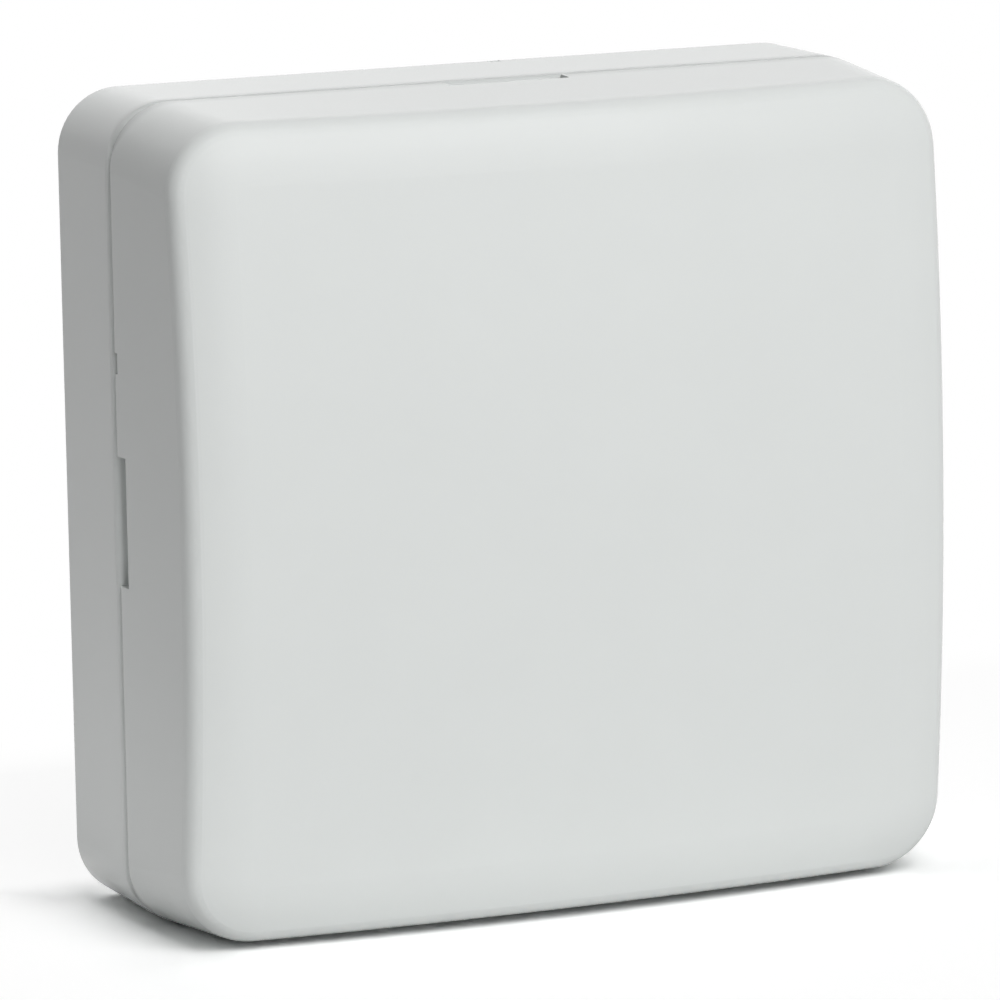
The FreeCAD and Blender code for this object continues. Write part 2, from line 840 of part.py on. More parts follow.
def tamper_plunger():
    """Plunger with a cap, pressed in by the cover's post."""
    bore_floor = board_front + tamper_body_height - tamper_bore_depth
    low = bore_floor + tamper_spring_room
    stem = rod(tamper_plunger_radius, tamper_place, low, tamper_plunger_top)
    cap = rod(tamper_cap_radius, tamper_place, tamper_plunger_top - tamper_cap_height, tamper_plunger_top)
    cap = cap.makeFillet(tamper_cap_rounding, edges_at_depth(cap, tamper_plunger_top))
    return stem.fuse(cap).removeSplitter()


def tamper_spring():
    """Spring in the bore under the plunger."""
    low = board_front + tamper_body_height - tamper_bore_depth
    return spring_through_depth("tamper_spring", tamper_place, low, low + tamper_spring_room,
                                cover_spring_wire, cover_spring_coil, cover_spring_turns)


# Wall switch

def wall_tamper_plunger():
    """Flanged plunger through the back with a pin towards the switch."""
    flange_top = wall_flange_low + wall_flange_height
    pin_top = board_back - wall_switch_height - wall_switch_button_height - wall_switch_gap
    stem = rod(wall_plunger_radius, wall_switch_place, 0.0, wall_flange_low + root)
    stem = stem.makeChamfer(wall_plunger_chamfer, edges_at_depth(stem, 0.0))
    flange = rod(wall_flange_radius, wall_switch_place, wall_flange_low, flange_top)
    pin = rod(wall_pin_radius, wall_switch_place, wall_flange_low, pin_top)
    return stem.fuse([flange, pin]).removeSplitter()


def wall_tamper_spring():
    """Spring between the plunger's flange and the board."""
    low = wall_flange_low + wall_flange_height
    return spring_through_depth("wall_tamper_spring", wall_switch_place, low, board_back,
                                wall_spring_wire, wall_spring_coil, wall_spring_turns)


def wall_tamper_switch():
    """Small push switch on the back of the board."""
    low = board_back - wall_switch_height
    body = slab(wall_switch_place, (wall_switch_size, wall_switch_size), low, board_back)
    return body.fuse(rod(wall_switch_button_radius, wall_switch_place, low - wall_switch_button_height, low))


# Configuration switch and enrol button

def dip_slider_x(index):
    """Middle of one slider across the switch."""
    return dip_place[0] + (index - (dip_count - 1) / 2) * dip_pitch


def dip_switch_body():
    """Block with one slot for each slider."""
    length = dip_count * dip_pitch + 2 * dip_margin
    top = board_front + dip_height
    body = slab(dip_place, (length, dip_width), board_front, top)
    slot_size = (dip_slider_width + 2 * dip_fit, dip_slider_length + dip_travel + 2 * dip_fit)
    floor = top - dip_slider_depth - dip_fit
    slots = [slab((dip_slider_x(index), dip_place[1]), slot_size, floor, top + overrun)
             for index in range(dip_count)]
    return body.cut(slots)


def dip_slider(index):
    """One slider at the lower end of its slot."""
    top = board_front + dip_height
    place = (dip_slider_x(index), dip_place[1] - dip_travel / 2)
    high = top + dip_slider_proud
    slider = slab(place, (dip_slider_width, dip_slider_length), top - dip_slider_depth, high)
    return slider.makeFillet(dip_slider_rounding, edges_at_depth(slider, high))


def enrol_switch_body():
    """Push switch with a round bore and four legs."""
    top = board_front + enrol_height
    body = slab(enrol_place, (enrol_size, enrol_size), board_front, top)
    body = body.makeChamfer(enrol_chamfer, edges_at_depth(body, top))
    floor = top - enrol_button_depth - enrol_travel - enrol_fit
    bore = rod(enrol_button_radius + enrol_fit, enrol_place, floor, top + overrun)
    legs = []
    leg_top = board_front + enrol_leg_thickness
    for side in (-1, 1):
        middle = (enrol_place[0], enrol_place[1] + side * enrol_leg_spacing / 2)
        legs.append(slab(middle, (enrol_size + 2 * enrol_leg_reach, enrol_leg_width), board_front, leg_top))
    return body.cut(bore).fuse(legs).removeSplitter()


def enrol_button():
    """Round button standing out of its switch."""
    top = board_front + enrol_height
    button = rod(enrol_button_radius, enrol_place, top - enrol_button_depth, top + enrol_button_proud)
    return button.makeFillet(enrol_button_rounding, edges_at_depth(button, top + enrol_button_proud))


# Microphone

def microphone_boot():
    """Rubber cup that holds the capsule off the board."""
    outer = microphone_radius + boot_wall
    top = board_front + boot_floor + microphone_height + microphone_felt_thickness
    cup = rod(outer, microphone_place, board_front, top)
    cup = cup.makeFillet(boot_rounding, edges_at_depth(cup, top))
    bore = rod(microphone_radius + boot_fit, microphone_place, board_front + boot_floor, top + overrun)
    return cup.cut(bore)


def microphone_capsule():
    """Round metal capsule."""
    low = board_front + boot_floor
    can = rod(microphone_radius, microphone_place, low, low + microphone_height)
    return can.makeFillet(microphone_rounding, edges_at_depth(can, low + microphone_height))


def microphone_felt():
    """Felt disc over the sound inlet."""
    low = board_front + boot_floor + microphone_height
    return rod(microphone_felt_radius, microphone_place, low, low + microphone_felt_thickness)


# Chips and small components

def chip_body(place, size, thickness):
    """Moulded chip body held just above the board, with bevelled top edges."""
    top = board_front + lead_lift + thickness
    body = slab(place, size, board_front + lead_lift, top)
    return body.makeChamfer(chip_bevel, edges_at_depth(body, top))


def gull_lead(place, outward, edge, thickness):
    """One bent lead from a chip's side down to the board."""
    shoulder = board_front + lead_lift + thickness / 2
    bend = edge + lead_reach / 2
    tip = edge + lead_reach
    profile = [(edge, shoulder), (edge, shoulder + lead_thickness), (bend, shoulder + lead_thickness),
               (bend, board_front + lead_thickness), (tip, board_front + lead_thickness), (tip, board_front),
               (bend - lead_thickness, board_front), (bend - lead_thickness, shoulder)]
    sideways = (-outward[1], outward[0])
    points = []
    for reach, level in profile:
        x = place[0] + outward[0] * reach - sideways[0] * lead_width / 2
        z = place[1] + outward[1] * reach - sideways[1] * lead_width / 2
        points.append(at(x, level, z))
    face = Part.Face(Part.makePolygon(points + points[:1]))
    return face.extrude(vec(sideways[0] * lead_width, 0, sideways[1] * lead_width))


def chip_leads(place, size, thickness, pitch, count, sides):
    """Rows of leads on the named sides of a chip."""
    leads = []
    for outward in sides:
        edge = size[0] / 2 if outward[0] else size[1] / 2
        for index in range(count):
            shift = (index - (count - 1) / 2) * pitch
            foot = (place[0] - outward[1] * shift, place[1] + outward[0] * shift)
            leads.append(gull_lead(foot, outward, edge, thickness))
    return leads


def controller_leads():
    """Leads on all four sides of the controller."""
    sides = [(1, 0), (-1, 0), (0, 1), (0, -1)]
    size = (controller_size, controller_size)
    return Part.makeCompound(chip_leads(controller_place, size, controller_thickness,
                                        controller_lead_pitch, controller_leads_per_side, sides))


def small_chip_leads():
    """Leads of the amplifier and of the regulator."""
    leads = chip_leads(amplifier_place, amplifier_size, amplifier_thickness,
                       amplifier_lead_pitch, amplifier_leads_per_side, [(0, 1), (0, -1)])
    leads += chip_leads(regulator_place, regulator_size, regulator_thickness,
                        regulator_lead_pitch, regulator_lead_count, [(0, -1)])
    leads += chip_leads(regulator_place, regulator_size, regulator_thickness,
                        regulator_lead_pitch, 1, [(0, 1)])
    return Part.makeCompound(leads)


def crystal_can():
    """Oval metal can on the board."""
    top = board_front + crystal_height
    can = rounded_plate(crystal_size[0] / 2, crystal_size[1] / 2, crystal_corner_radius,
                        board_front, top, crystal_place)
    return can.makeFillet(crystal_rounding, edges_at_depth(can, top))


def radio_board():
    """Small radio board lying on the main board."""
    return slab(radio_place, radio_size, board_front, board_front + radio_thickness)


def radio_shield():
    """Pressed metal can over the radio chip."""
    low = board_front + radio_thickness
    can = slab(radio_place, shield_size, low, low + shield_height)
    foot = edges_at_depth(can, low)
    rounded = [edge for edge in can.Edges if not any(edge.isSame(other) for other in foot)]
    return can.makeFillet(shield_rounding, rounded)


def capacitor_base():
    """Plastic foot under the smoothing capacitor, with two cut corners."""
    half = capacitor_base_size / 2
    x, z = capacitor_place
    cut = capacitor_base_cut
    plan = [(x - half, z - half), (x + half - cut, z - half), (x + half, z - half + cut),
            (x + half, z + half - cut), (x + half - cut, z + half), (x - half, z + half)]
    points = [at(px, board_front, pz) for px, pz in plan]
    return Part.Face(Part.makePolygon(points + points[:1])).extrude(vec(0, -capacitor_base_height, 0))


def smoothing_capacitor():
    """Round can on its foot."""
    low = board_front + capacitor_base_height
    top = low + capacitor_height
    can = rod(capacitor_radius, capacitor_place, low, top)
    return can.makeFillet(capacitor_rounding, edges_at_depth(can, top))


def power_inductor():
    """Square moulded inductor with cut corners."""
    half = inductor_size / 2
    cut = inductor_cut
    x, z = inductor_place
    plan = []
    for sx, sz in ((1, 1), (-1, 1), (-1, -1), (1, -1)):
        first = (x + sx * half, z + sz * (half - cut))
        second = (x + sx * (half - cut), z + sz * half)
        plan += [first, second] if sx * sz > 0 else [second, first]
    points = [at(px, board_front, pz) for px, pz in plan]
    return Part.Face(Part.makePolygon(points + points[:1])).extrude(vec(0, -inductor_height, 0))


def status_led():
    """Round lamp with a domed top and a flange."""
    dome = board_front + led_height - led_radius
    lamp = rod(led_radius, led_place, board_front, dome)
    flange = rod(led_flange_radius, led_place, board_front, board_front + led_flange_height)
    ball = Part.makeSphere(led_radius, at(led_place[0], dome, led_place[1]))
    return lamp.fuse([flange, ball]).removeSplitter()


def header_pin_places():
    """Middle of each service pin."""
    places = []
    for column in range(header_columns):
        for row in range(header_rows):
            x = header_place[0] + (column - (header_columns - 1) / 2) * header_pitch
            z = header_place[1] + (row - (header_rows - 1) / 2) * header_pitch
            places.append((x, z))
    return places


def header_pins():
    """Square pins through the board."""
    low = board_back - header_pin_below
    high = board_front + header_block_height + header_pin_above
    size = (header_pin_size, header_pin_size)
    return Part.makeCompound([slab(place, size, low, high) for place in header_pin_places()])


def header_block():
    """Plastic strip that holds the pins."""
    size = (header_columns * header_pitch, header_rows * header_pitch)
    strip = slab(header_place, size, board_front, board_front + header_block_height)
    return strip.cut(header_pins())


def jumper_cap():
    """Cap over the first pair of pins."""
    low = board_front + header_block_height
    x = header_pin_places()[0][0]
    pin_and_walls = header_pin_size + 2 * jumper_wall
    size = (pin_and_walls, pin_and_walls + (header_rows - 1) * header_pitch)
    cap = slab((x, header_place[1]), size, low, low + jumper_height)
    cap = cap.makeChamfer(jumper_chamfer, edges_at_depth(cap, low + jumper_height))
    pin = (header_pin_size + 2 * jumper_fit, header_pin_size + 2 * jumper_fit)
    holes = [slab(place, pin, low - overrun, low + header_pin_above + jumper_fit)
             for place in header_pin_places()[:header_rows]]
    return cap.cut(holes)


def chip_row(served, offset, count, thickness):
    """Small two-ended parts side by side in a row, about an offset from what they serve."""
    parts = []
    for index in range(count):
        x = served[0] + offset[0] + (index - (count - 1) / 2) * chip_part_spacing
        parts.append(slab((x, served[1] + offset[1]), chip_part_size, board_front, board_front + thickness))
    return parts


def chip_column(served, offset, count, thickness):
    """Small two-ended parts one above the other, about an offset from what they serve."""
    parts = []
    size = (chip_part_size[1], chip_part_size[0])
    for index in range(count):
        z = served[1] + offset[1] + (index - (count - 1) / 2) * chip_part_spacing
        parts.append(slab((served[0] + offset[0], z), size, board_front, board_front + thickness))
    return parts


def chip_resistors():
    """Chip resistors of the controller and of the crystal."""
    thickness = chip_resistor_height
    parts = chip_row(controller_place, controller_row_offset, controller_row_count, thickness)
    parts += chip_column(controller_place, controller_column_offset, controller_column_count, thickness)
    parts += chip_row(crystal_place, crystal_row_offset, crystal_row_count, thickness)
    return Part.makeCompound(parts)


def chip_capacitors():
    """Chip capacitors of the amplifier, the power supply and the radio."""
    thickness = chip_capacitor_height
    parts = chip_row(amplifier_place, amplifier_row_offset, amplifier_row_count, thickness)
    parts += chip_column(inductor_place, inductor_column_offset, inductor_column_count, thickness)
    parts += chip_column(radio_place, radio_column_offset, radio_column_count, thickness)
    return Part.makeCompound(parts)


nodes = {
    "rear_base": rear_base(),
    "front_cover": front_cover(),
    "back_label": back_label(),
    "circuit_board": circuit_board(),
    "board_screws": board_screws(),
    "battery_can": battery_can(),
    "battery_core": battery_core(),
    "battery_sleeve": battery_sleeve(),
    "battery_terminal": battery_terminal(),
    "battery_contact_positive": contact_plate(positive_plate_x),
    "battery_contact_negative": contact_plate(negative_plate_x),
    "battery_spring": battery_spring(),
    "tamper_switch_body": tamper_switch_body(),
    "tamper_plunger": tamper_plunger(),
    "tamper_spring": tamper_spring(),
    "wall_tamper_plunger": wall_tamper_plunger(),
    "wall_tamper_spring": wall_tamper_spring(),
    "wall_tamper_switch": wall_tamper_switch(),
    "dip_switch_body": dip_switch_body(),
    "enrol_switch_body": enrol_switch_body(),
    "enrol_button": enrol_button(),
    "microphone_boot": microphone_boot(),
    "microphone_capsule": microphone_capsule(),
    "microphone_felt": microphone_felt(),
    "controller_chip": chip_body(controller_place, (controller_size, controller_size), controller_thickness),
    "controller_leads": controller_leads(),
    "amplifier_chip": chip_body(amplifier_place, amplifier_size, amplifier_thickness),
    "voltage_regulator": chip_body(regulator_place, regulator_size, regulator_thickness),
    "small_chip_leads": small_chip_leads(),
    "crystal_can": crystal_can(),
    "radio_board": radio_board(),
    "radio_shield": radio_shield(),
    "antenna_coil": antenna_coil(),
    "capacitor_base": capacitor_base(),
    "smoothing_capacitor": smoothing_capacitor(),
    "power_inductor": power_inductor(),
    "status_led": status_led(),
    "header_pins": header_pins(),
    "header_block": header_block(),
    "jumper_cap": jumper_cap(),
    "chip_resistors": chip_resistors(),
    "chip_capacitors": chip_capacitors(),
}
for number in range(dip_count):
    nodes["dip_slider_" + str(number + 1)] = dip_slider(number)

os.makedirs("parts", exist_ok=True)
for name, shape in nodes.items():
    shape.exportStep("parts/" + name + ".step")
    valid = "valid" if shape.isValid() else "NOT VALID"
    print(name, len(shape.Solids), "solids", round(shape.Volume, 1), "mm3", valid)
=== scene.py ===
from functools import reduce
import json
import math

import bpy
from mathutils import Euler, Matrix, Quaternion, Vector

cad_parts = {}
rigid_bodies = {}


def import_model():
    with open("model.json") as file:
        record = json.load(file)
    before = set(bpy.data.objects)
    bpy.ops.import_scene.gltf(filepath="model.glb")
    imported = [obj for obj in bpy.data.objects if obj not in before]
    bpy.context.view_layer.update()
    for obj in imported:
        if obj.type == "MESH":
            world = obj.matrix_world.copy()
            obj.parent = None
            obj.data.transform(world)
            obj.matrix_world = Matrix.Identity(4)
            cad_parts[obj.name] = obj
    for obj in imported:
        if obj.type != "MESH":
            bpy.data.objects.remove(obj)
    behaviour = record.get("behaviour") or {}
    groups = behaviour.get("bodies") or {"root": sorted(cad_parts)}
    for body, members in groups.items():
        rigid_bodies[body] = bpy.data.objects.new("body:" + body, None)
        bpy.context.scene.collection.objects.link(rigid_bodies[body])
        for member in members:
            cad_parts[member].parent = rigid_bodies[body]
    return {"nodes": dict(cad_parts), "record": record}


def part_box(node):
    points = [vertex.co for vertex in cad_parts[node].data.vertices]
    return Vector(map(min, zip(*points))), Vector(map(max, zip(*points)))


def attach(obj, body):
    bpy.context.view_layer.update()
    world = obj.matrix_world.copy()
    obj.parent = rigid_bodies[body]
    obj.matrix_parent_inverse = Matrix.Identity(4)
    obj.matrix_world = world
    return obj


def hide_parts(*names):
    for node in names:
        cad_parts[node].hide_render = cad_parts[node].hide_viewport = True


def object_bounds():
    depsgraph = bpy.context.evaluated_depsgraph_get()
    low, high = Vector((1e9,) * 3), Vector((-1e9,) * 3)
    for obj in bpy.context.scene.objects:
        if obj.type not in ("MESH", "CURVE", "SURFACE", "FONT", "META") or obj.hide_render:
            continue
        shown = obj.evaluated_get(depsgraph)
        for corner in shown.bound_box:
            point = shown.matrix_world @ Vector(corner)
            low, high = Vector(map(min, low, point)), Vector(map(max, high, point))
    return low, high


# Glass break sensor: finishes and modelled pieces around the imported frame.
# Lengths are metres. X runs right, the front faces -Y, Z is up and the wall plane is y = 0.

for leftover in list(bpy.data.objects):
    bpy.data.objects.remove(leftover)
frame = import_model()
nodes = frame["nodes"]
cad_bounds = [list(corner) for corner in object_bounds()]

mm = 0.001
static_body = "base"

# Camera, fitted to the photograph
camera_azimuth = -23.555
camera_elevation = 10.086
camera_roll = -0.996
camera_distance = 683.607 * mm
camera_aim = Vector((-2.216, -17.190, -0.823)) * mm
camera_lens = 257.66
camera_film_width = 36.0
camera_nearest = 0.01

# Lamps: place, power in watts, whether glossy surfaces mirror it, and whether it lights the floor too
lamp_size = 2.6
lamps = {
    "low_front_lamp": ((0.82, -3.04, 0.56), 5.6, True, False),
    "high_front_lamp": ((0.36, -2.03, 2.45), 14.6, True, True),
    "left_front_lamp": ((-1.78, -2.12, 1.6), 7.5, True, False),
    "back_lamp": ((0.0, 2.77, 1.6), 3.4, True, True),
    "soft_front_lamp": ((0.52, -2.73, 1.6), 67.5, False, False),
    "soft_high_lamp": ((0.39, -2.22, 2.68), 21.4, False, True),
    "soft_top_lamp": ((0.0, 1.6, 2.77), 16.0, False, True),
    "soft_back_lamp": ((1.6, 2.85, 0.9), 46.0, False, False),
}

# Unseen light lying on the floor by the left side, which stands for a white card
card_size = 60.0 * mm
card_place = (-76.0 * mm, -15.0 * mm, -38.5 * mm)
card_power = 0.0055

# Floor: away from the object it turns white, in part within the near reach and fully by the fade's end
pure_white = (1.0, 1.0, 1.0, 1.0)
floor_level = -39.25 * mm
floor_size = 1.6
floor_fade_start = 12.0 * mm
floor_fade_end = 70.0 * mm
cover_travel = 60.0 * mm
floor_near_reach = 9.0 * mm
floor_near_share = 0.85

# Floor's colour as the camera sees it, and as it lights the object
floor_tone = (2.5, 2.5, 2.5)
floor_bounce = (1.2, 1.2, 1.2)

# Wound pieces, as wire radius, coil radius to the wire's middle, and turns
battery_spring_wire = 0.35 * mm
battery_spring_coil = 3.2 * mm
battery_spring_turns = 2.75
switch_spring_turns = 2.5
antenna_wire = 0.4 * mm
antenna_coil_radius = 2.4 * mm
antenna_pitch = 2.1 * mm
antenna_turns = 6.5
antenna_legs = 3.6 * mm
wire_facets = 12
facets_per_turn = 40

# Wire ends, as shares of the wire's radius: how near their edge lies, their rounding, and what is merged
wire_end_near = 1.02
wire_end_inset = 0.35
wire_end_dome = 0.3
wire_merge = 0.01

# Switch springs: the piece that each is centred on, its wire radius and its coil radius
switch_springs = {
    "tamper_spring": ("tamper_plunger", 0.15 * mm, 1.2 * mm),
    "wall_tamper_spring": ("wall_tamper_plunger", 0.3 * mm, 3.75 * mm),
}

# Shells. Painted shade darkens their seam as a fine line on the sides, and as a soft, fainter band on the
# top.
seam_shade_colour = (0.50, 0.515, 0.51)
seam_depth = 14.15 * mm
seam_shade_reach = 0.4 * mm
top_seam_depth = 13.9 * mm
top_seam_shade_reach = 2.3 * mm
top_seam_shade_share = 0.55
top_begins = 34.0 * mm
top_full = 38.0 * mm

# Circuit board's tracks: patches and tracks per metre, and half a track's width as a share of its pitch
patches_across = 120.0
patches_up = 150.0
tracks_per_metre = 1100.0
track_half_width = 0.24

# A patch whose chance is this near to a half has no tracks, or is all copper
no_tracks_within = 0.09
all_copper_within = 0.035

# Circuit board's white outlines round parts, and the bare rings round its screws
outline_gap = 0.55 * mm
outline_half_width = 0.08 * mm
outlined_blocks = (
    "dip_switch_body", "enrol_switch_body", "tamper_switch_body", "crystal_can", "capacitor_base",
    "power_inductor", "radio_board", "header_block", "amplifier_chip", "voltage_regulator",
)
outlined_rounds = {"microphone_boot": 0.5 * mm, "status_led": 0.4 * mm}
screw_head_radius = 2.4 * mm
screw_ring_radius = 3.1 * mm

# Radio board: tinned half holes along its long edges
half_hole_pitch = 1.27 * mm
half_hole_reach = 0.9 * mm
half_hole_half_width = 0.28

# Cell: its sleeve's coloured band and line, from one end, and the wrinkles at both ends
cell_band = 7.5 * mm
cell_line = 8.6 * mm
cell_line_half_width = 0.3 * mm
cell_wrinkle_reach = 2.0 * mm

# Chips: how far the dimple lies from the corner by the first lead
chip_dimples = {"controller_chip": 1.1 * mm, "amplifier_chip": 0.8 * mm, "voltage_regulator": 0.7 * mm}
dimple_radius = 0.42 * mm
dimple_floor_radius = 0.34 * mm

# Capacitor: the depth of its marked top, and how far from the middle the mark begins
capacitor_top = 0.5 * mm
capacitor_mark = 2.0 * mm

# Bare metals: bright colour, dull colour, roughness, and how the drawn lines are squeezed along each axis
metals = {
    "screw_steel": ((0.66, 0.66, 0.68), (0.50, 0.50, 0.52), 0.28, (1.0, 1.0, 1.0)),
    "cell_steel": ((0.70, 0.70, 0.71), (0.58, 0.58, 0.59), 0.24, (1.0, 0.2, 1.0)),
    "contact_nickel": ((0.74, 0.72, 0.67), (0.60, 0.58, 0.53), 0.26, (1.0, 1.0, 0.1)),
    "capsule_aluminium": ((0.80, 0.80, 0.81), (0.68, 0.68, 0.69), 0.30, (1.0, 1.0, 1.0)),
    "lead_tin": ((0.76, 0.76, 0.75), (0.60, 0.60, 0.59), 0.30, (1.0, 1.0, 1.0)),
    "crystal_steel": ((0.74, 0.74, 0.73), (0.62, 0.62, 0.60), 0.26, (0.1, 1.0, 1.0)),
    "shield_tin": ((0.77, 0.77, 0.75), (0.64, 0.64, 0.62), 0.27, (0.08, 1.0, 1.0)),
    "pin_gold": ((0.86, 0.64, 0.26), (0.74, 0.52, 0.19), 0.24, (1.0, 1.0, 1.0)),
}

# Moulded parts: colour, roughness, height of the grain, and how much the colour varies
moulded_parts = {
    "cell_filling": ((0.10, 0.10, 0.11), 0.70, 0.020 * mm, 0.12),
    "switch_black": ((0.022, 0.022, 0.024), 0.46, 0.008 * mm, 0.12),
    "plunger_white": ((0.78, 0.78, 0.75), 0.36, 0.006 * mm, 0.03),
    "dip_blue": ((0.012, 0.060, 0.36), 0.40, 0.008 * mm, 0.12),
    "slider_white": ((0.80, 0.80, 0.77), 0.36, 0.006 * mm, 0.03),
    "enrol_red": ((0.50, 0.020, 0.018), 0.38, 0.008 * mm, 0.12),
    "inductor_grey": ((0.075, 0.075, 0.080), 0.60, 0.030 * mm, 0.25),
    "header_black": ((0.018, 0.018, 0.020), 0.44, 0.008 * mm, 0.12),
    "resistor_black": ((0.016, 0.016, 0.018), 0.34, 0.008 * mm, 0.12),
    "capacitor_tan": ((0.42, 0.28, 0.16), 0.48, 0.008 * mm, 0.12),
}

# Small parts: height, finish, and rows as what they stand by, x and z from there, number, and upright or not
chip_part_kinds = {
    "chip_resistors": (0.5 * mm, "resistor_black", (
        ("controller_chip", 0.0, 6.6 * mm, 6, True),
        ("controller_chip", -6.6 * mm, -0.1 * mm, 4, False),
        ("crystal_can", 0.0, -4.4 * mm, 3, True),
    )),
    "chip_capacitors": (0.9 * mm, "capacitor_tan", (
        ("amplifier_chip", -6.4 * mm, -2.9 * mm, 3, True),
        ("power_inductor", -5.0 * mm, 0.5 * mm, 2, False),
        ("radio_board", -12.7 * mm, -2.1 * mm, 3, False),
    )),
}
chip_part_spacing = 2.6 * mm
chip_part_length = 2.0 * mm
chip_part_width = 1.25 * mm
chip_part_cap = 0.42 * mm
chip_part_skin = 0.01 * mm
chip_part_pad = 1.3 * mm
chip_cap_bevel = 0.08 * mm
chip_body_bevel = 0.05 * mm

# Chips' leads: the chip, its width and height, the leads' pitch, how many on a side, and which sides
right, left, top, bottom = (1, 0), (-1, 0), (0, 1), (0, -1)
chip_leads = (
    ("controller_chip", 7.0 * mm, 7.0 * mm, 0.8 * mm, 8, (right, left, top, bottom)),
    ("amplifier_chip", 5.0 * mm, 4.0 * mm, 1.27 * mm, 4, (top, bottom)),
    ("voltage_regulator", 6.5 * mm, 3.5 * mm, 2.3 * mm, 3, (bottom,)),
    ("voltage_regulator", 6.5 * mm, 3.5 * mm, 2.3 * mm, 1, (top,)),
)
foot_reach = 0.85 * mm
foot_pad_width = 0.46 * mm
foot_pad_length = 1.5 * mm
pad_height = 0.05 * mm
pad_bevel = 0.045 * mm

# Header pins and the solder round them, which narrows by shares of its height and width
header_columns = 3
header_rows = 2
header_pitch = 2.54 * mm
header_pin_half = 0.32 * mm
solder_radius = 0.75 * mm
solder_height = 0.7 * mm
solder_sides = 20
solder_narrows = ((0.5, 0.62), (1.0, 0.40))
solder_ring_near = 0.1

# Print on the configuration switch
print_height = 0.02 * mm
print_size = 1.15 * mm
print_edge = 0.85 * mm
print_word_edge = 1.25 * mm
slider_count = 4
slider_pitch = 2.54 * mm

# Edges that turn by more than this, in radians, stay sharp
sharp_angle = 0.7
print_sharp_angle = 0.5


def corners_of(name):
    """Lowest and highest corner of a node's box."""
    low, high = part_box(name)
    return Vector(low), Vector(high)


def middle_of(name):
    """Middle of a node's box."""
    low, high = corners_of(name)
    return (low + high) / 2


def spread(count, pitch):
    """Places of a row along a line, from its middle."""
    return [(index - (count - 1) / 2) * pitch for index in range(count)]


board_front, board_back = (corner.y for corner in corners_of("circuit_board"))


# Materials

class Value:
    """An output of a node, with arithmetic that adds Math nodes."""

    def __init__(self, owner, socket):
        self.owner = owner
        self.socket = socket

    def maths(self, operation, *others):
        return self.owner.node("Math", dict(enumerate((self,) + others)), operation=operation)

    def __add__(self, other):
        return self.maths("ADD", other)

    def __sub__(self, other):
        return self.maths("SUBTRACT", other)

    def __rsub__(self, other):
        return self.owner.node("Math", {0: other, 1: self}, operation="SUBTRACT")

    def __mul__(self, other):
        return self.maths("MULTIPLY", other)

    def __truediv__(self, other):
        return self.maths("DIVIDE", other)

    def __lt__(self, other):
        return self.maths("LESS_THAN", other)

    def __gt__(self, other):
        return self.maths("GREATER_THAN", other)

    def __abs__(self):
        return self.maths("ABSOLUTE")

    __radd__ = __add__
    __rmul__ = __mul__

    def floor(self):
        return self.maths("FLOOR")

    def fraction(self):
        return self.maths("FRACT")

    def root(self):
        return self.maths("SQRT")

    def highest(self, other):
        return self.maths("MAXIMUM", other)

    def ramp(self, low, high):
        """0 at low and beyond, 1 at high and beyond, with a smooth change between."""
        inputs = {"Value": self, "From Min": low, "From Max": high}
        return self.owner.node("MapRange", inputs, interpolation_type="SMOOTHSTEP")


def any_of(masks):
    """The highest of several masks."""
    return reduce(Value.highest, masks)


class Nodes:
    """Nodes of a material or of the world, written as expressions on their values."""

    def __init__(self, owner):
        owner.use_nodes = True
        self.tree = owner.node_tree
        self.tree.nodes.clear()

    def node(self, kind, inputs=None, output=0, **settings):
        """Adds one node. Its settings come first, then the values or links of its sockets."""
        made = self.tree.nodes.new("ShaderNode" + kind)
        for name, value in settings.items():
            setattr(made, name, value)
        for key, value in (inputs or {}).items():
            if isinstance(value, Value):
                self.tree.links.new(value.socket, made.inputs[key])
            else:
                made.inputs[key].default_value = value
        return Value(self, made.outputs[output]) if made.outputs else None

    def seen_directly(self):
        """1 for rays from the camera, in a mirror or through glass."""
        kinds = ("Camera", "Glossy", "Transmission")
        return any_of(self.node("LightPath", output=f"Is {kind} Ray") for kind in kinds)


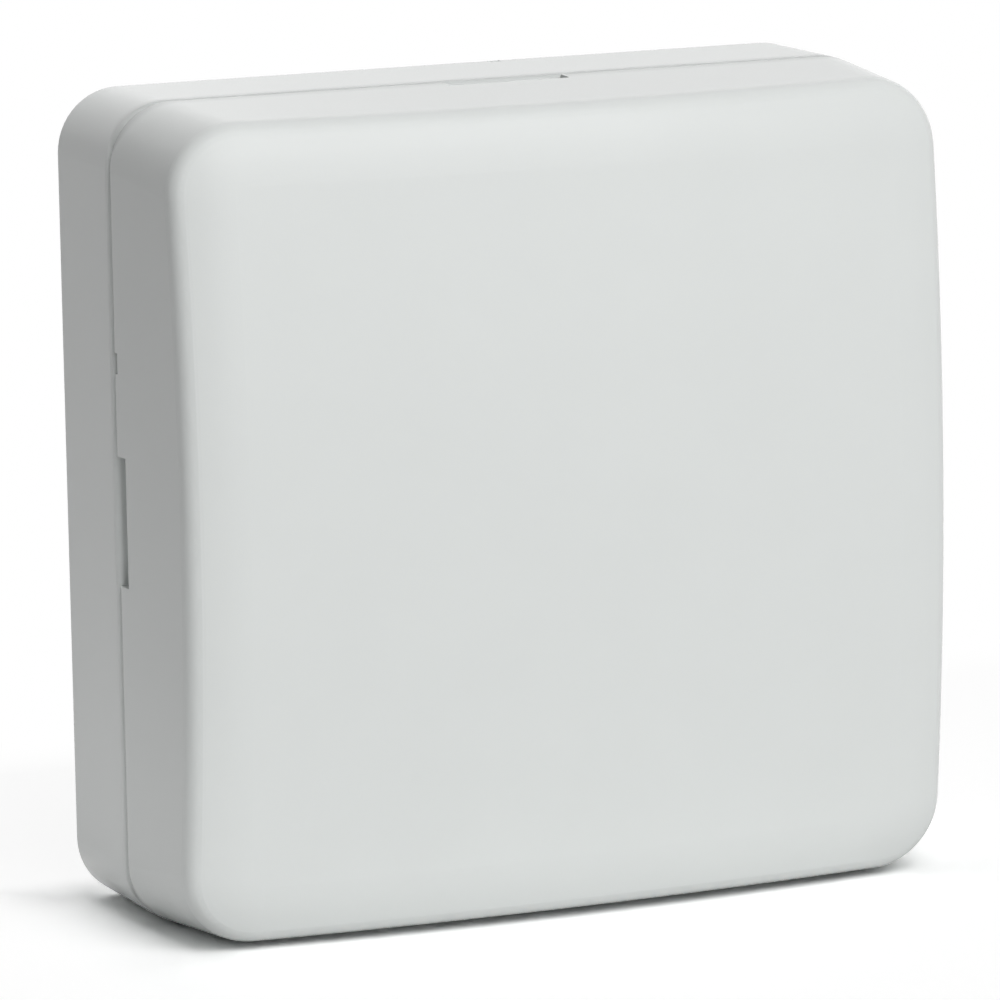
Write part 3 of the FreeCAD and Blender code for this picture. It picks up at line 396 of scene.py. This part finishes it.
class Finish(Nodes):
    """A material with the place on the object as x, y and z."""

    def __init__(self, name):
        self.material = bpy.data.materials.new(name)
        super().__init__(self.material)
        self.place = self.node("TexCoord", output="Object")
        self.x, self.y, self.z = (self.node("SeparateXYZ", {0: self.place}, output=axis) for axis in "XYZ")

    def noise(self, scale, detail=2.0, roughness=0.5, place=None):
        """Noise between 0 and 1, with its scale in waves per metre."""
        inputs = {"Vector": place or self.place, "Scale": scale, "Detail": detail, "Roughness": roughness}
        return self.node("TexNoise", inputs)

    def cells(self, scale):
        """Distance to the middles of random cells."""
        return self.node("TexVoronoi", {"Vector": self.place, "Scale": scale})

    def stretched(self, scale):
        """Object coordinates scaled by a different number along each axis."""
        return self.node("Mapping", {"Vector": self.place, "Scale": scale})

    def mix(self, factor, first, second):
        """Colour between two colours."""
        inputs = {0: factor}
        for index, colour in ((6, first), (7, second)):
            inputs[index] = colour if isinstance(colour, Value) else (*colour, 1.0)
        return self.node("Mix", inputs, output=2, data_type="RGBA")

    def bump(self, height, distance):
        """Normal for a height between 0 and 1 that stands a distance high."""
        return self.node("Bump", {"Height": height, "Distance": distance, "Strength": 1.0})

    def from_disc(self, centre):
        """Distance from a line through the depth."""
        across = self.x - centre.x
        up = self.z - centre.z
        return (across * across + up * up).root()

    def from_box(self, low, high):
        """Distance outside a rectangle on the plan, negative inside it."""
        across = abs(self.x - (low.x + high.x) / 2) - (high.x - low.x) / 2
        up = abs(self.z - (low.z + high.z) / 2) - (high.z - low.z) / 2
        return across.highest(up)

    def surface(self, **sockets):
        """Principled surface. Its sockets are given with underscores for spaces."""
        named = {name.replace("_", " "): value for name, value in sockets.items()}
        self.node("OutputMaterial", {"Surface": self.node("BsdfPrincipled", named)})
        return self.material


def shell_plastic():
    """Pale moulded plastic with a fine spark-eroded grain, slow waves in its gloss, and painted shade along
    its seam.
    """
    finish = Finish("shell_plastic_finish")
    grain = finish.noise(5200.0, detail=3.0, roughness=0.6)
    waves = finish.noise(90.0)
    tone = finish.mix(waves, (0.722, 0.745, 0.735), (0.742, 0.765, 0.755))
    # Painted shade along the seam: a fine line on the sides, a wider and fainter band on the top
    on_top = abs(finish.z).ramp(top_begins, top_full)
    from_seam = abs(finish.y + seam_depth + (top_seam_depth - seam_depth) * on_top)
    reach = seam_shade_reach + (top_seam_shade_reach - seam_shade_reach) * on_top
    shade = (from_seam / reach).ramp(1.0, 0.2) * (1.0 - (1.0 - top_seam_shade_share) * on_top)
    tone = finish.mix(shade, tone, seam_shade_colour)
    normal = finish.bump(grain, 0.004 * mm)
    return finish.surface(Base_Color=tone, Roughness=0.17 + 0.06 * grain, Normal=normal)


def moulded(slot, colour, roughness, grain, mottle):
    """Plain moulded plastic or ceramic with a matt grain and a slight mottle."""
    finish = Finish(slot + "_finish")
    fine = finish.noise(9000.0, detail=3.0, roughness=0.6)
    broad = finish.noise(700.0, detail=3.0, roughness=0.55)
    dark = tuple(part * (1.0 - mottle) for part in colour)
    light = tuple(min(part * (1.0 + mottle), 0.9) for part in colour)
    tone = finish.mix(broad.ramp(0.3, 0.7), dark, light)
    rough = roughness - 0.08 + 0.16 * fine
    return finish.surface(Base_Color=tone, Roughness=rough, Normal=finish.bump(fine, grain))


def metal(slot, colour, dull, roughness, brushing):
    """Bare metal with drawn or rolled lines, smudges and duller patches."""
    finish = Finish(slot + "_finish")
    lines = finish.noise(2600.0, detail=3.0, roughness=0.6, place=finish.stretched(brushing))
    smudge = finish.noise(420.0, detail=4.0, roughness=0.6).ramp(0.35, 0.75)
    tone = finish.mix(smudge, colour, dull)
    rough = roughness - 0.06 + 0.14 * lines + 0.12 * smudge
    normal = finish.bump(lines, 0.006 * mm)
    return finish.surface(Base_Color=tone, Metallic=1.0, Roughness=rough, Normal=normal)


def label_film():
    """Blank matt film label with a fine fibrous face."""
    finish = Finish("label_film_finish")
    fibres = finish.noise(3200.0, detail=4.0, roughness=0.7, place=finish.stretched((0.35, 1.0, 1.0)))
    stain = finish.noise(120.0, detail=3.0)
    tone = finish.mix(stain, (0.80, 0.80, 0.775), (0.86, 0.86, 0.84))
    normal = finish.bump(fibres, 0.012 * mm)
    return finish.surface(Base_Color=tone, Roughness=0.52 + 0.16 * fibres, Normal=normal)


def board_laminate():
    """Green solder mask over copper tracks, with white outlines round parts and bare rings at screws."""
    finish = Finish("board_laminate_finish")
    faces = finish.node("NewGeometry", output="Normal")
    on_face = abs(finish.node("SeparateXYZ", {0: faces}, output="Y")) > 0.5
    glass = finish.noise(1800.0, detail=3.0, roughness=0.6, place=finish.stretched((1.0, 6.0, 1.0)))
    edge_tone = finish.mix(glass, (0.24, 0.19, 0.075), (0.40, 0.33, 0.16))

    patch = {0: (finish.x * patches_across).floor(), 2: (finish.z * patches_up).floor()}
    chance = finish.node("TexWhiteNoise", {"Vector": finish.node("CombineXYZ", patch)})
    upright = chance > 0.5
    across = (finish.x * tracks_per_metre).fraction()
    along = (finish.z * tracks_per_metre).fraction()
    coordinate = upright * across + (1.0 - upright) * along
    from_half = abs(chance - 0.5)
    track = (abs(coordinate - 0.5) < track_half_width) * (from_half > no_tracks_within)
    copper = track.highest(from_half < all_copper_within)

    weave = finish.noise(2200.0)
    mask_tone = finish.mix(copper, (0.006, 0.070, 0.030), (0.012, 0.135, 0.052))
    mask_tone = finish.mix(weave * 0.35, mask_tone, (0.004, 0.050, 0.022))

    from_lines = [finish.from_box(*corners_of(name)) - outline_gap for name in outlined_blocks]
    for name, gap in outlined_rounds.items():
        low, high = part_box(name)
        radius = (high[0] - low[0]) / 2 + gap
        from_lines.append(finish.from_disc(middle_of(name)) - radius)
    outline = any_of(abs(distance) < outline_half_width for distance in from_lines)
    tone = finish.mix(outline, mask_tone, (0.72, 0.74, 0.70))

    rings = any_of(finish.from_disc(place) < screw_ring_radius for place in screw_places())
    tone = finish.mix(rings, tone, (0.75, 0.73, 0.68))
    tone = finish.mix(on_face, edge_tone, tone)
    metallic = rings * on_face
    rough = 0.30 + 0.10 * weave + 0.35 * (1.0 - on_face)
    height = (copper * 0.6 + outline * 0.4 + weave * 0.12) * on_face
    return finish.surface(Base_Color=tone, Metallic=metallic, Roughness=rough,
                          Normal=finish.bump(height, 0.03 * mm))


def screw_places():
    """Places of the board's screws: two in the upper corners of their box and one low in the middle."""
    low, high = corners_of("board_screws")
    head = screw_head_radius
    places = [(low.x + head, high.z - head), (high.x - head, high.z - head), (0.0, low.z + head)]
    return [Vector((x, 0.0, z)) for x, z in places]


def cell_film():
    """Plain heat-shrunk sleeve, white with a green end, wrinkled where it turns over the cell's ends."""
    finish = Finish("cell_film_finish")
    end = corners_of("battery_sleeve")[1].x
    band = finish.x > end - cell_band
    line = abs(finish.x - (end - cell_line)) < cell_line_half_width
    dust = finish.noise(900.0, detail=3.0, roughness=0.6)
    white = finish.mix(dust, (0.74, 0.75, 0.72), (0.80, 0.81, 0.79))
    tone = finish.mix(band.highest(line), white, (0.012, 0.20, 0.085))
    near_end = (abs(finish.x) - (end - cell_wrinkle_reach)).ramp(0.0, cell_wrinkle_reach)
    wrinkles = finish.noise(1500.0, place=finish.stretched((0.25, 1.0, 1.0)))
    normal = finish.bump(wrinkles * near_end, 0.12 * mm)
    return finish.surface(Base_Color=tone, Roughness=0.26 + 0.10 * dust, Coat_Weight=0.3, Normal=normal)


def chip_black():
    """Matt black chip resin with a round dimple by the first lead of each chip."""
    finish = Finish("chip_black_finish")
    fine = finish.noise(7000.0, detail=3.0, roughness=0.65)
    from_dimples = []
    for name, inset in chip_dimples.items():
        low = corners_of(name)[0]
        from_dimples.append(finish.from_disc(low + Vector((inset, 0.0, inset))))
    dimple = any_of(distance.ramp(dimple_radius, dimple_floor_radius) for distance in from_dimples)
    tone = finish.mix(fine, (0.012, 0.012, 0.013), (0.030, 0.030, 0.031))
    rough = 0.62 - 0.14 * fine - 0.28 * dimple
    height = fine * 0.08 - dimple
    return finish.surface(Base_Color=tone, Roughness=rough, Normal=finish.bump(height, 0.10 * mm))


def felt_black():
    """Black felt disc with loose fibres."""
    finish = Finish("felt_black_finish")
    fibres = finish.noise(5200.0, detail=5.0, roughness=0.75)
    tufts = finish.cells(2600.0)
    tone = finish.mix(fibres, (0.008, 0.008, 0.009), (0.055, 0.055, 0.058))
    normal = finish.bump(fibres + tufts * 0.5, 0.09 * mm)
    return finish.surface(Base_Color=tone, Roughness=0.95, Sheen_Weight=0.5, Normal=normal)


def boot_rubber():
    """Soft black rubber with a dusty bloom."""
    finish = Finish("boot_rubber_finish")
    bloom = finish.noise(500.0, detail=4.0, roughness=0.6).ramp(0.4, 0.8)
    fine = finish.noise(6000.0)
    tone = finish.mix(bloom, (0.014, 0.014, 0.015), (0.045, 0.045, 0.047))
    return finish.surface(Base_Color=tone, Roughness=0.70 + 0.12 * fine, Normal=finish.bump(fine, 0.01 * mm))


def led_red():
    """Clear red lamp resin, a little cloudy towards the flange."""
    finish = Finish("led_red_finish")
    cloud = finish.noise(1600.0)
    tone = finish.mix(cloud, (0.78, 0.012, 0.010), (0.90, 0.030, 0.020))
    normal = finish.bump(cloud, 0.01 * mm)
    return finish.surface(Base_Color=tone, Roughness=0.06 + 0.08 * cloud, Transmission_Weight=0.7,
                          IOR=1.5, Normal=normal)


def antenna_copper():
    """Bright copper wire under clear enamel."""
    finish = Finish("antenna_copper_finish")
    drawn = finish.noise(3000.0)
    heat = finish.noise(260.0)
    tone = finish.mix(heat, (0.80, 0.33, 0.15), (0.66, 0.24, 0.09))
    return finish.surface(Base_Color=tone, Metallic=1.0, Roughness=0.22 + 0.12 * drawn, Coat_Weight=0.6,
                          Coat_Roughness=0.1, Normal=finish.bump(drawn, 0.004 * mm))


def capacitor_aluminium():
    """Clear-sleeved aluminium can with a dark quarter on its top that marks one lead."""
    finish = Finish("capacitor_aluminium_finish")
    centre = middle_of("smoothing_capacitor")
    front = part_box("smoothing_capacitor")[0][1]
    turned = finish.noise(2400.0, place=finish.stretched((1.0, 0.2, 1.0)))
    on_top = finish.y < front + capacitor_top
    side = (finish.x - centre.x) + (finish.z - centre.z) < -capacitor_mark
    stripe = on_top * side
    tone = finish.mix(turned, (0.80, 0.80, 0.81), (0.88, 0.88, 0.88))
    tone = finish.mix(stripe, tone, (0.015, 0.015, 0.017))
    return finish.surface(Base_Color=tone, Metallic=1.0 - stripe, Roughness=0.26 + 0.14 * turned,
                          Normal=finish.bump(turned, 0.006 * mm))


def radio_laminate():
    """Blue radio board with a row of tinned half holes along its long edges."""
    finish = Finish("radio_laminate_finish")
    low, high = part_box("radio_board")
    across = ((finish.x - low[0]) / half_hole_pitch).fraction()
    from_edge = abs(finish.z - (low[2] + high[2]) / 2) - (high[2] - low[2]) / 2
    pad = (from_edge > -half_hole_reach) * (abs(across - 0.5) < half_hole_half_width)
    weave = finish.noise(2200.0)
    tone = finish.mix(weave, (0.006, 0.022, 0.115), (0.010, 0.034, 0.160))
    tone = finish.mix(pad, tone, (0.83, 0.79, 0.66))
    return finish.surface(Base_Color=tone, Metallic=pad, Roughness=0.34 + 0.10 * weave,
                          Normal=finish.bump(pad * 0.5 + weave * 0.1, 0.03 * mm))


def build_finishes():
    """Material for each of the record's slots."""
    made = {
        "shell_plastic": shell_plastic(),
        "label_film": label_film(),
        "board_laminate": board_laminate(),
        "cell_film": cell_film(),
        "boot_rubber": boot_rubber(),
        "felt_black": felt_black(),
        "chip_black": chip_black(),
        "radio_laminate": radio_laminate(),
        "antenna_copper": antenna_copper(),
        "capacitor_aluminium": capacitor_aluminium(),
        "led_red": led_red(),
    }
    made.update({slot: metal(slot, *values) for slot, values in metals.items()})
    made.update({slot: moulded(slot, *values) for slot, values in moulded_parts.items()})
    return made


# Modelling

def nothing_selected():
    """Deselects everything, in object mode."""
    if bpy.context.mode != "OBJECT":
        bpy.ops.object.mode_set(mode="OBJECT")
    bpy.ops.object.select_all(action="DESELECT")


def only_selected(piece):
    """Selects one piece and makes it the active one, in object mode."""
    nothing_selected()
    piece.select_set(True)
    bpy.context.view_layer.objects.active = piece


def box_piece(low, high):
    """Cube at its place, between two corners."""
    nothing_selected()
    low, high = Vector(low), Vector(high)
    bpy.ops.mesh.primitive_cube_add(size=1.0, location=(low + high) / 2)
    piece = bpy.context.active_object
    piece.scale = high - low
    settle(piece)
    return piece


def settle(piece):
    """Puts a piece's place, turn and scale into its mesh."""
    only_selected(piece)
    bpy.ops.object.transform_apply(location=True, rotation=True, scale=True)


def select_parts(piece, kind, test):
    """Goes into edit mode with the vertices or faces selected that pass a test."""
    only_selected(piece)
    bpy.ops.object.mode_set(mode="EDIT")
    bpy.ops.mesh.select_mode(type=kind)
    bpy.ops.mesh.select_all(action="DESELECT")
    bpy.ops.object.mode_set(mode="OBJECT")
    for part in piece.data.vertices if kind == "VERT" else piece.data.polygons:
        part.select = test(part)
    bpy.ops.object.mode_set(mode="EDIT")


def modified(piece, kind, **settings):
    """Adds a modifier and applies it."""
    only_selected(piece)
    made = piece.modifiers.new(kind.lower(), kind)
    for name, value in settings.items():
        setattr(made, name, value)
    bpy.ops.object.modifier_apply(modifier=made.name)


def joined(pieces):
    """One piece from several."""
    nothing_selected()
    for piece in pieces:
        piece.select_set(True)
    bpy.context.view_layer.objects.active = pieces[0]
    bpy.ops.object.join()
    return pieces[0]


def copied_to(places, piece):
    """Copies of a piece that is at the first of the places, one at each, joined to one."""
    first = places[0]
    made = []
    for place in places:
        other = piece.copy()
        other.data = piece.data.copy()
        other.location = (place[0] - first[0], 0.0, place[1] - first[1])
        bpy.context.collection.objects.link(other)
        made.append(other)
    bpy.data.objects.remove(piece)
    for other in made:
        settle(other)
    return joined(made)


def finished(piece, name, body, slot, replaces=(), angle=sharp_angle):
    """Names a piece, gives it its finish and ties it to its body and to what it stands for."""
    only_selected(piece)
    bpy.ops.object.shade_smooth_by_angle(angle=angle)
    piece.name = name
    piece.data.materials.clear()
    piece.data.materials.append(finishes[slot])
    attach(piece, body)
    if replaces:
        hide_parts(*replaces)
    return piece


def wound_wire(origin, axis, across, wire, coil, pitch, turns, lead):
    """Coil of round wire about an axis, X or Y, with a straight run square to it at each end."""
    nothing_selected()
    axis, across = Vector(axis), Vector(across)
    third = axis.cross(across)
    turn = third.to_track_quat("Z", "Y").to_euler()
    bpy.ops.mesh.primitive_circle_add(vertices=wire_facets, radius=wire, fill_type="NOTHING",
                                      location=across * coil, rotation=turn)
    piece = bpy.context.active_object
    settle(piece)
    along_x = abs(axis.x) > 0.5
    sign = axis.x if along_x else axis.y
    last_turn = turns * 2 * math.pi
    steps = round(facets_per_turn * turns)
    modified(piece, "SCREW", axis="X" if along_x else "Y", angle=sign * last_turn,
             screw_offset=sign * pitch * turns, iterations=1, steps=steps, render_steps=steps,
             use_normal_calculate=True, use_smooth_shade=True)
    outwards = across * math.cos(last_turn) + third * math.sin(last_turn)
    forwards = third * math.cos(last_turn) - across * math.sin(last_turn)
    ends = [(across * coil, -third), (outwards * coil + axis * (pitch * turns), forwards)]
    for place, direction in ends:
        select_parts(piece, "VERT", lambda vertex: (vertex.co - place).length < wire * wire_end_near)
        bpy.ops.mesh.extrude_region_move(TRANSFORM_OT_translate={"value": direction * lead})
        bpy.ops.mesh.edge_face_add()
        bpy.ops.mesh.inset(thickness=wire * wire_end_inset, depth=wire * wire_end_dome)
        bpy.ops.object.mode_set(mode="OBJECT")
    select_parts(piece, "FACE", lambda face: True)
    bpy.ops.mesh.remove_doubles(threshold=wire * wire_merge)
    bpy.ops.mesh.normals_make_consistent(inside=False)
    piece.location = Vector(origin)
    settle(piece)
    return piece


def build_springs():
    """The cell's spring, the two switches' springs and the wound antenna."""
    cell = middle_of("battery_sleeve")
    low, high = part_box("battery_spring")
    start = Vector((low[0] + battery_spring_wire, cell.y, cell.z))
    room = high[0] - low[0] - 2 * battery_spring_wire
    piece = wound_wire(start, (1, 0, 0), (0, 0, 1), battery_spring_wire, battery_spring_coil,
                       room / battery_spring_turns, battery_spring_turns, 2 * battery_spring_wire)
    finished(piece, "cell_spring_wire", static_body, "contact_nickel", ("battery_spring",))
    for node, (beside, wire, coil) in switch_springs.items():
        low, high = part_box(node)
        centre = middle_of(beside)
        start = Vector((centre.x, high[1] - wire, centre.z))
        room = high[1] - low[1] - 2 * wire
        piece = wound_wire(start, (0, -1, 0), (1, 0, 0), wire, coil, room / switch_spring_turns,
                           switch_spring_turns, 2 * wire)
        finished(piece, node + "_wire", static_body, "screw_steel", (node,))
    low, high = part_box("antenna_coil")
    middle_z = (low[2] + high[2]) / 2
    start = Vector((low[0] + antenna_wire, board_front - antenna_legs, middle_z))
    piece = wound_wire(start, (1, 0, 0), (0, 0, 1), antenna_wire, antenna_coil_radius, antenna_pitch,
                       antenna_turns, antenna_legs)
    finished(piece, "antenna_wire", static_body, "antenna_copper", ("antenna_coil",))


def chip_part(height, centre, upright):
    """Body and metal ends of one small part, at its place on the board."""
    half = Vector((chip_part_width / 2, 0.0, chip_part_length / 2))
    if not upright:
        half = Vector((half.z, 0.0, half.x))
    skin = chip_part_skin
    low = Vector((centre[0] - half.x + skin, board_front - height + skin, centre[1] - half.z + skin))
    high = Vector((centre[0] + half.x - skin, board_front, centre[1] + half.z - skin))
    block = box_piece(low, high)
    modified(block, "BEVEL", width=chip_body_bevel, segments=2)
    caps = []
    for side in (-1, 1):
        cap_low = Vector((centre[0] - half.x, board_front - height, centre[1] - half.z))
        cap_high = Vector((centre[0] + half.x, board_front, centre[1] + half.z))
        index = 2 if upright else 0
        if side < 0:
            cap_high[index] = cap_low[index] + chip_part_cap
        else:
            cap_low[index] = cap_high[index] - chip_part_cap
        cap = box_piece(cap_low, cap_high)
        modified(cap, "BEVEL", width=chip_cap_bevel, segments=3)
        caps.append(cap)
    return block, joined(caps)


def chip_places(rows):
    """Middles of the small parts in some rows, apart by whether they stand upright."""
    places = {True: [], False: []}
    for beside, right_of, above, count, upright in rows:
        centre = middle_of(beside)
        for shift in spread(count, chip_part_spacing):
            x = centre.x + right_of + (shift if upright else 0.0)
            z = centre.z + above + (0.0 if upright else shift)
            places[upright].append((x, z))
    return places


def build_chip_parts():
    """Chip resistors and capacitors: body, metal ends and the solder under them."""
    caps = []
    pads = []
    for node, (height, slot, rows) in chip_part_kinds.items():
        blocks = []
        for upright, places in chip_places(rows).items():
            block, cap = chip_part(height, places[0], upright)
            blocks.append(copied_to(places, block))
            caps.append(copied_to(places, cap))
            for x, z in places:
                for reach in (-chip_part_length / 2, chip_part_length / 2):
                    pads.append((x, z + reach) if upright else (x + reach, z))
        finished(joined(blocks), node + "_bodies", static_body, slot, (node,))
    finished(joined(caps), "chip_part_ends", static_body, "lead_tin")
    finished(pad_field(pads, chip_part_pad, chip_part_pad), "chip_part_pads", static_body, "lead_tin")


def pad_field(places, wide, tall):
    """Tinned pads on the board's front, modelled once and copied."""
    x, z = places[0]
    low = (x - wide / 2, board_front - pad_height, z - tall / 2)
    high = (x + wide / 2, board_front, z + tall / 2)
    pad = box_piece(low, high)
    modified(pad, "BEVEL", width=pad_bevel, segments=2)
    return copied_to(places, pad)


def build_chip_pads():
    """Solder pads under the leads of the three chips."""
    feet = {True: [], False: []}
    for name, wide, tall, pitch, count, sides in chip_leads:
        centre = middle_of(name)
        for across, up in sides:
            reach = (wide if across else tall) / 2 + foot_reach
            for shift in spread(count, pitch):
                x = centre.x + across * reach + (shift if up else 0.0)
                z = centre.z + up * reach + (shift if across else 0.0)
                feet[bool(up)].append((x, z))
    fields = [pad_field(feet[True], foot_pad_width, foot_pad_length),
              pad_field(feet[False], foot_pad_length, foot_pad_width)]
    finished(joined(fields), "chip_lead_pads", static_body, "lead_tin")


def solder_cone(place):
    """Concave solder fillet standing on the board's back."""
    nothing_selected()
    height = solder_height
    near = height * solder_ring_near
    bpy.ops.mesh.primitive_cylinder_add(vertices=solder_sides, radius=solder_radius, depth=height,
                                        end_fill_type="NGON", location=(0.0, 0.0, height / 2))
    piece = bpy.context.active_object
    settle(piece)
    select_parts(piece, "FACE", lambda face: abs(face.normal.z) < 0.5)
    bpy.ops.mesh.subdivide(number_cuts=1)
    bpy.ops.object.mode_set(mode="OBJECT")
    for share, scale in solder_narrows:
        select_parts(piece, "VERT", lambda vertex: abs(vertex.co.z - height * share) < near)
        bpy.ops.transform.resize(value=(scale, scale, 1.0), center_override=(0.0, 0.0, height * share))
        bpy.ops.object.mode_set(mode="OBJECT")
    piece.rotation_euler = Euler((-math.pi / 2, 0.0, 0.0))
    piece.location = Vector((place[0], board_back, place[1]))
    settle(piece)
    return piece


def build_solder():
    """Solder round the header's pins, which pass through the board."""
    low = corners_of("header_pins")[0]
    columns = [low.x + header_pin_half + column * header_pitch for column in range(header_columns)]
    rows = [low.z + header_pin_half + row * header_pitch for row in range(header_rows)]
    pins = [(x, z) for x in columns for z in rows]
    finished(copied_to(pins, solder_cone(pins[0])), "header_solder", static_body, "lead_tin")


def dip_print():
    """Numbers 1 to 4 and the word ON on the configuration switch."""
    low, high = corners_of("dip_switch_body")
    middle = (low + high) / 2
    marks = []
    for index, shift in enumerate(spread(slider_count, slider_pitch)):
        marks.append((str(index + 1), middle.x + shift, low.z + print_edge))
    marks.append(("ON", low.x + print_word_edge, high.z - print_edge))
    pieces = []
    for words, x, z in marks:
        nothing_selected()
        bpy.ops.object.text_add(location=(x, low.y, z), rotation=(math.pi / 2, 0.0, 0.0))
        mark = bpy.context.active_object
        mark.data.body = words
        mark.data.size = print_size
        mark.data.align_x = "CENTER"
        mark.data.align_y = "CENTER"
        mark.data.extrude = print_height
        bpy.ops.object.convert(target="MESH")
        settle(bpy.context.active_object)
        pieces.append(bpy.context.active_object)
    finished(joined(pieces), "dip_switch_print", static_body, "slider_white", angle=print_sharp_angle)


def build_pieces():
    """All that is modelled here rather than in the solids."""
    build_springs()
    build_chip_parts()
    build_chip_pads()
    build_solder()
    dip_print()


# Camera, light and floor

def build_camera():
    """Camera at the photograph's place."""
    data = bpy.data.cameras.new("camera")
    data.sensor_width = camera_film_width
    data.lens = camera_lens
    data.clip_start = camera_nearest
    camera = bpy.data.objects.new("camera", data)
    bpy.context.collection.objects.link(camera)
    azimuth, elevation = math.radians(camera_azimuth), math.radians(camera_elevation)
    back = Vector((math.sin(azimuth) * math.cos(elevation), -math.cos(azimuth) * math.cos(elevation),
                   math.sin(elevation)))
    camera.location = camera_aim + back * camera_distance
    camera.rotation_mode = "QUATERNION"
    turn = Quaternion((0.0, 0.0, 1.0), math.radians(camera_roll))
    camera.rotation_quaternion = (-back).to_track_quat("-Z", "Y") @ turn
    bpy.context.scene.camera = camera


def build_world():
    """White for the camera and in reflections, without any light on matt surfaces."""
    world = bpy.data.worlds.new("studio")
    bpy.context.scene.world = world
    sky = Nodes(world)
    background = sky.node("Background", {"Color": pure_white, "Strength": sky.seen_directly()})
    sky.node("OutputWorld", {"Surface": background})


def add_lamp(name, place, turn, size, power, mirrored):
    """Square lamp that the camera doesn't see."""
    data = bpy.data.lights.new(name, "AREA")
    data.size = size
    data.energy = power
    lamp = bpy.data.objects.new(name, data)
    bpy.context.collection.objects.link(lamp)
    lamp.location = place
    lamp.rotation_euler = turn
    lamp.visible_camera = False
    lamp.visible_glossy = mirrored
    return lamp


def build_lamps():
    """Large soft lamps, all aimed at the object. The low ones leave the floor to the high ones."""
    all_but_floor = bpy.data.collections.new("all_but_floor")
    all_but_floor.objects.link(bpy.data.objects["floor"])
    all_but_floor.collection_objects[0].light_linking.link_state = "EXCLUDE"
    for name, (place, power, mirrored, lights_floor) in lamps.items():
        turn = (-Vector(place)).to_track_quat("-Z", "Y").to_euler()
        lamp = add_lamp(name, place, turn, lamp_size, power, mirrored)
        if not lights_floor:
            lamp.light_linking.receiver_collection = all_but_floor


def build_card():
    """Light from below on the left that brightens the foot of that side, as a white card does."""
    facing_up = (math.pi, 0.0, 0.0)
    add_lamp("left_card", card_place, facing_up, card_size, card_power, False)


def build_floor():
    """Pale floor that holds the object's shadow and fades to the white background."""
    nothing_selected()
    bpy.ops.mesh.primitive_plane_add(size=floor_size, location=(0.0, 0.0, floor_level))
    floor = bpy.context.active_object
    floor.name = "floor"
    finish = Finish("floor_finish")
    direct = finish.seen_directly()
    low, high = (Vector(corner) for corner in cad_bounds)
    beside = abs(finish.x) - high.x
    before = low.y - cover_travel - finish.y
    far = beside.highest(before).highest(finish.y).ramp(floor_fade_start, floor_fade_end)
    near = beside.highest(low.y - finish.y).highest(finish.y).ramp(0.0, floor_near_reach)
    white_share = far.highest(near * floor_near_share)
    tone = finish.mix(direct, floor_bounce, floor_tone)
    matt = finish.node("BsdfDiffuse", {"Color": tone, "Roughness": 0.0})
    white = finish.node("Emission", {"Color": pure_white, "Strength": 1.0})
    mixed = finish.node("MixShader", {0: direct * white_share, 1: matt, 2: white})
    finish.node("OutputMaterial", {"Surface": mixed})
    floor.data.materials.append(finish.material)


bpy.context.scene.view_settings.view_transform = "Standard"
build_camera()
build_world()
build_floor()
build_lamps()
build_card()
finishes = build_finishes()
for part in frame["record"]["subparts"]:
    for slot in nodes[part["node"]].material_slots:
        slot.material = finishes[part["material_slot"]]
build_pieces()
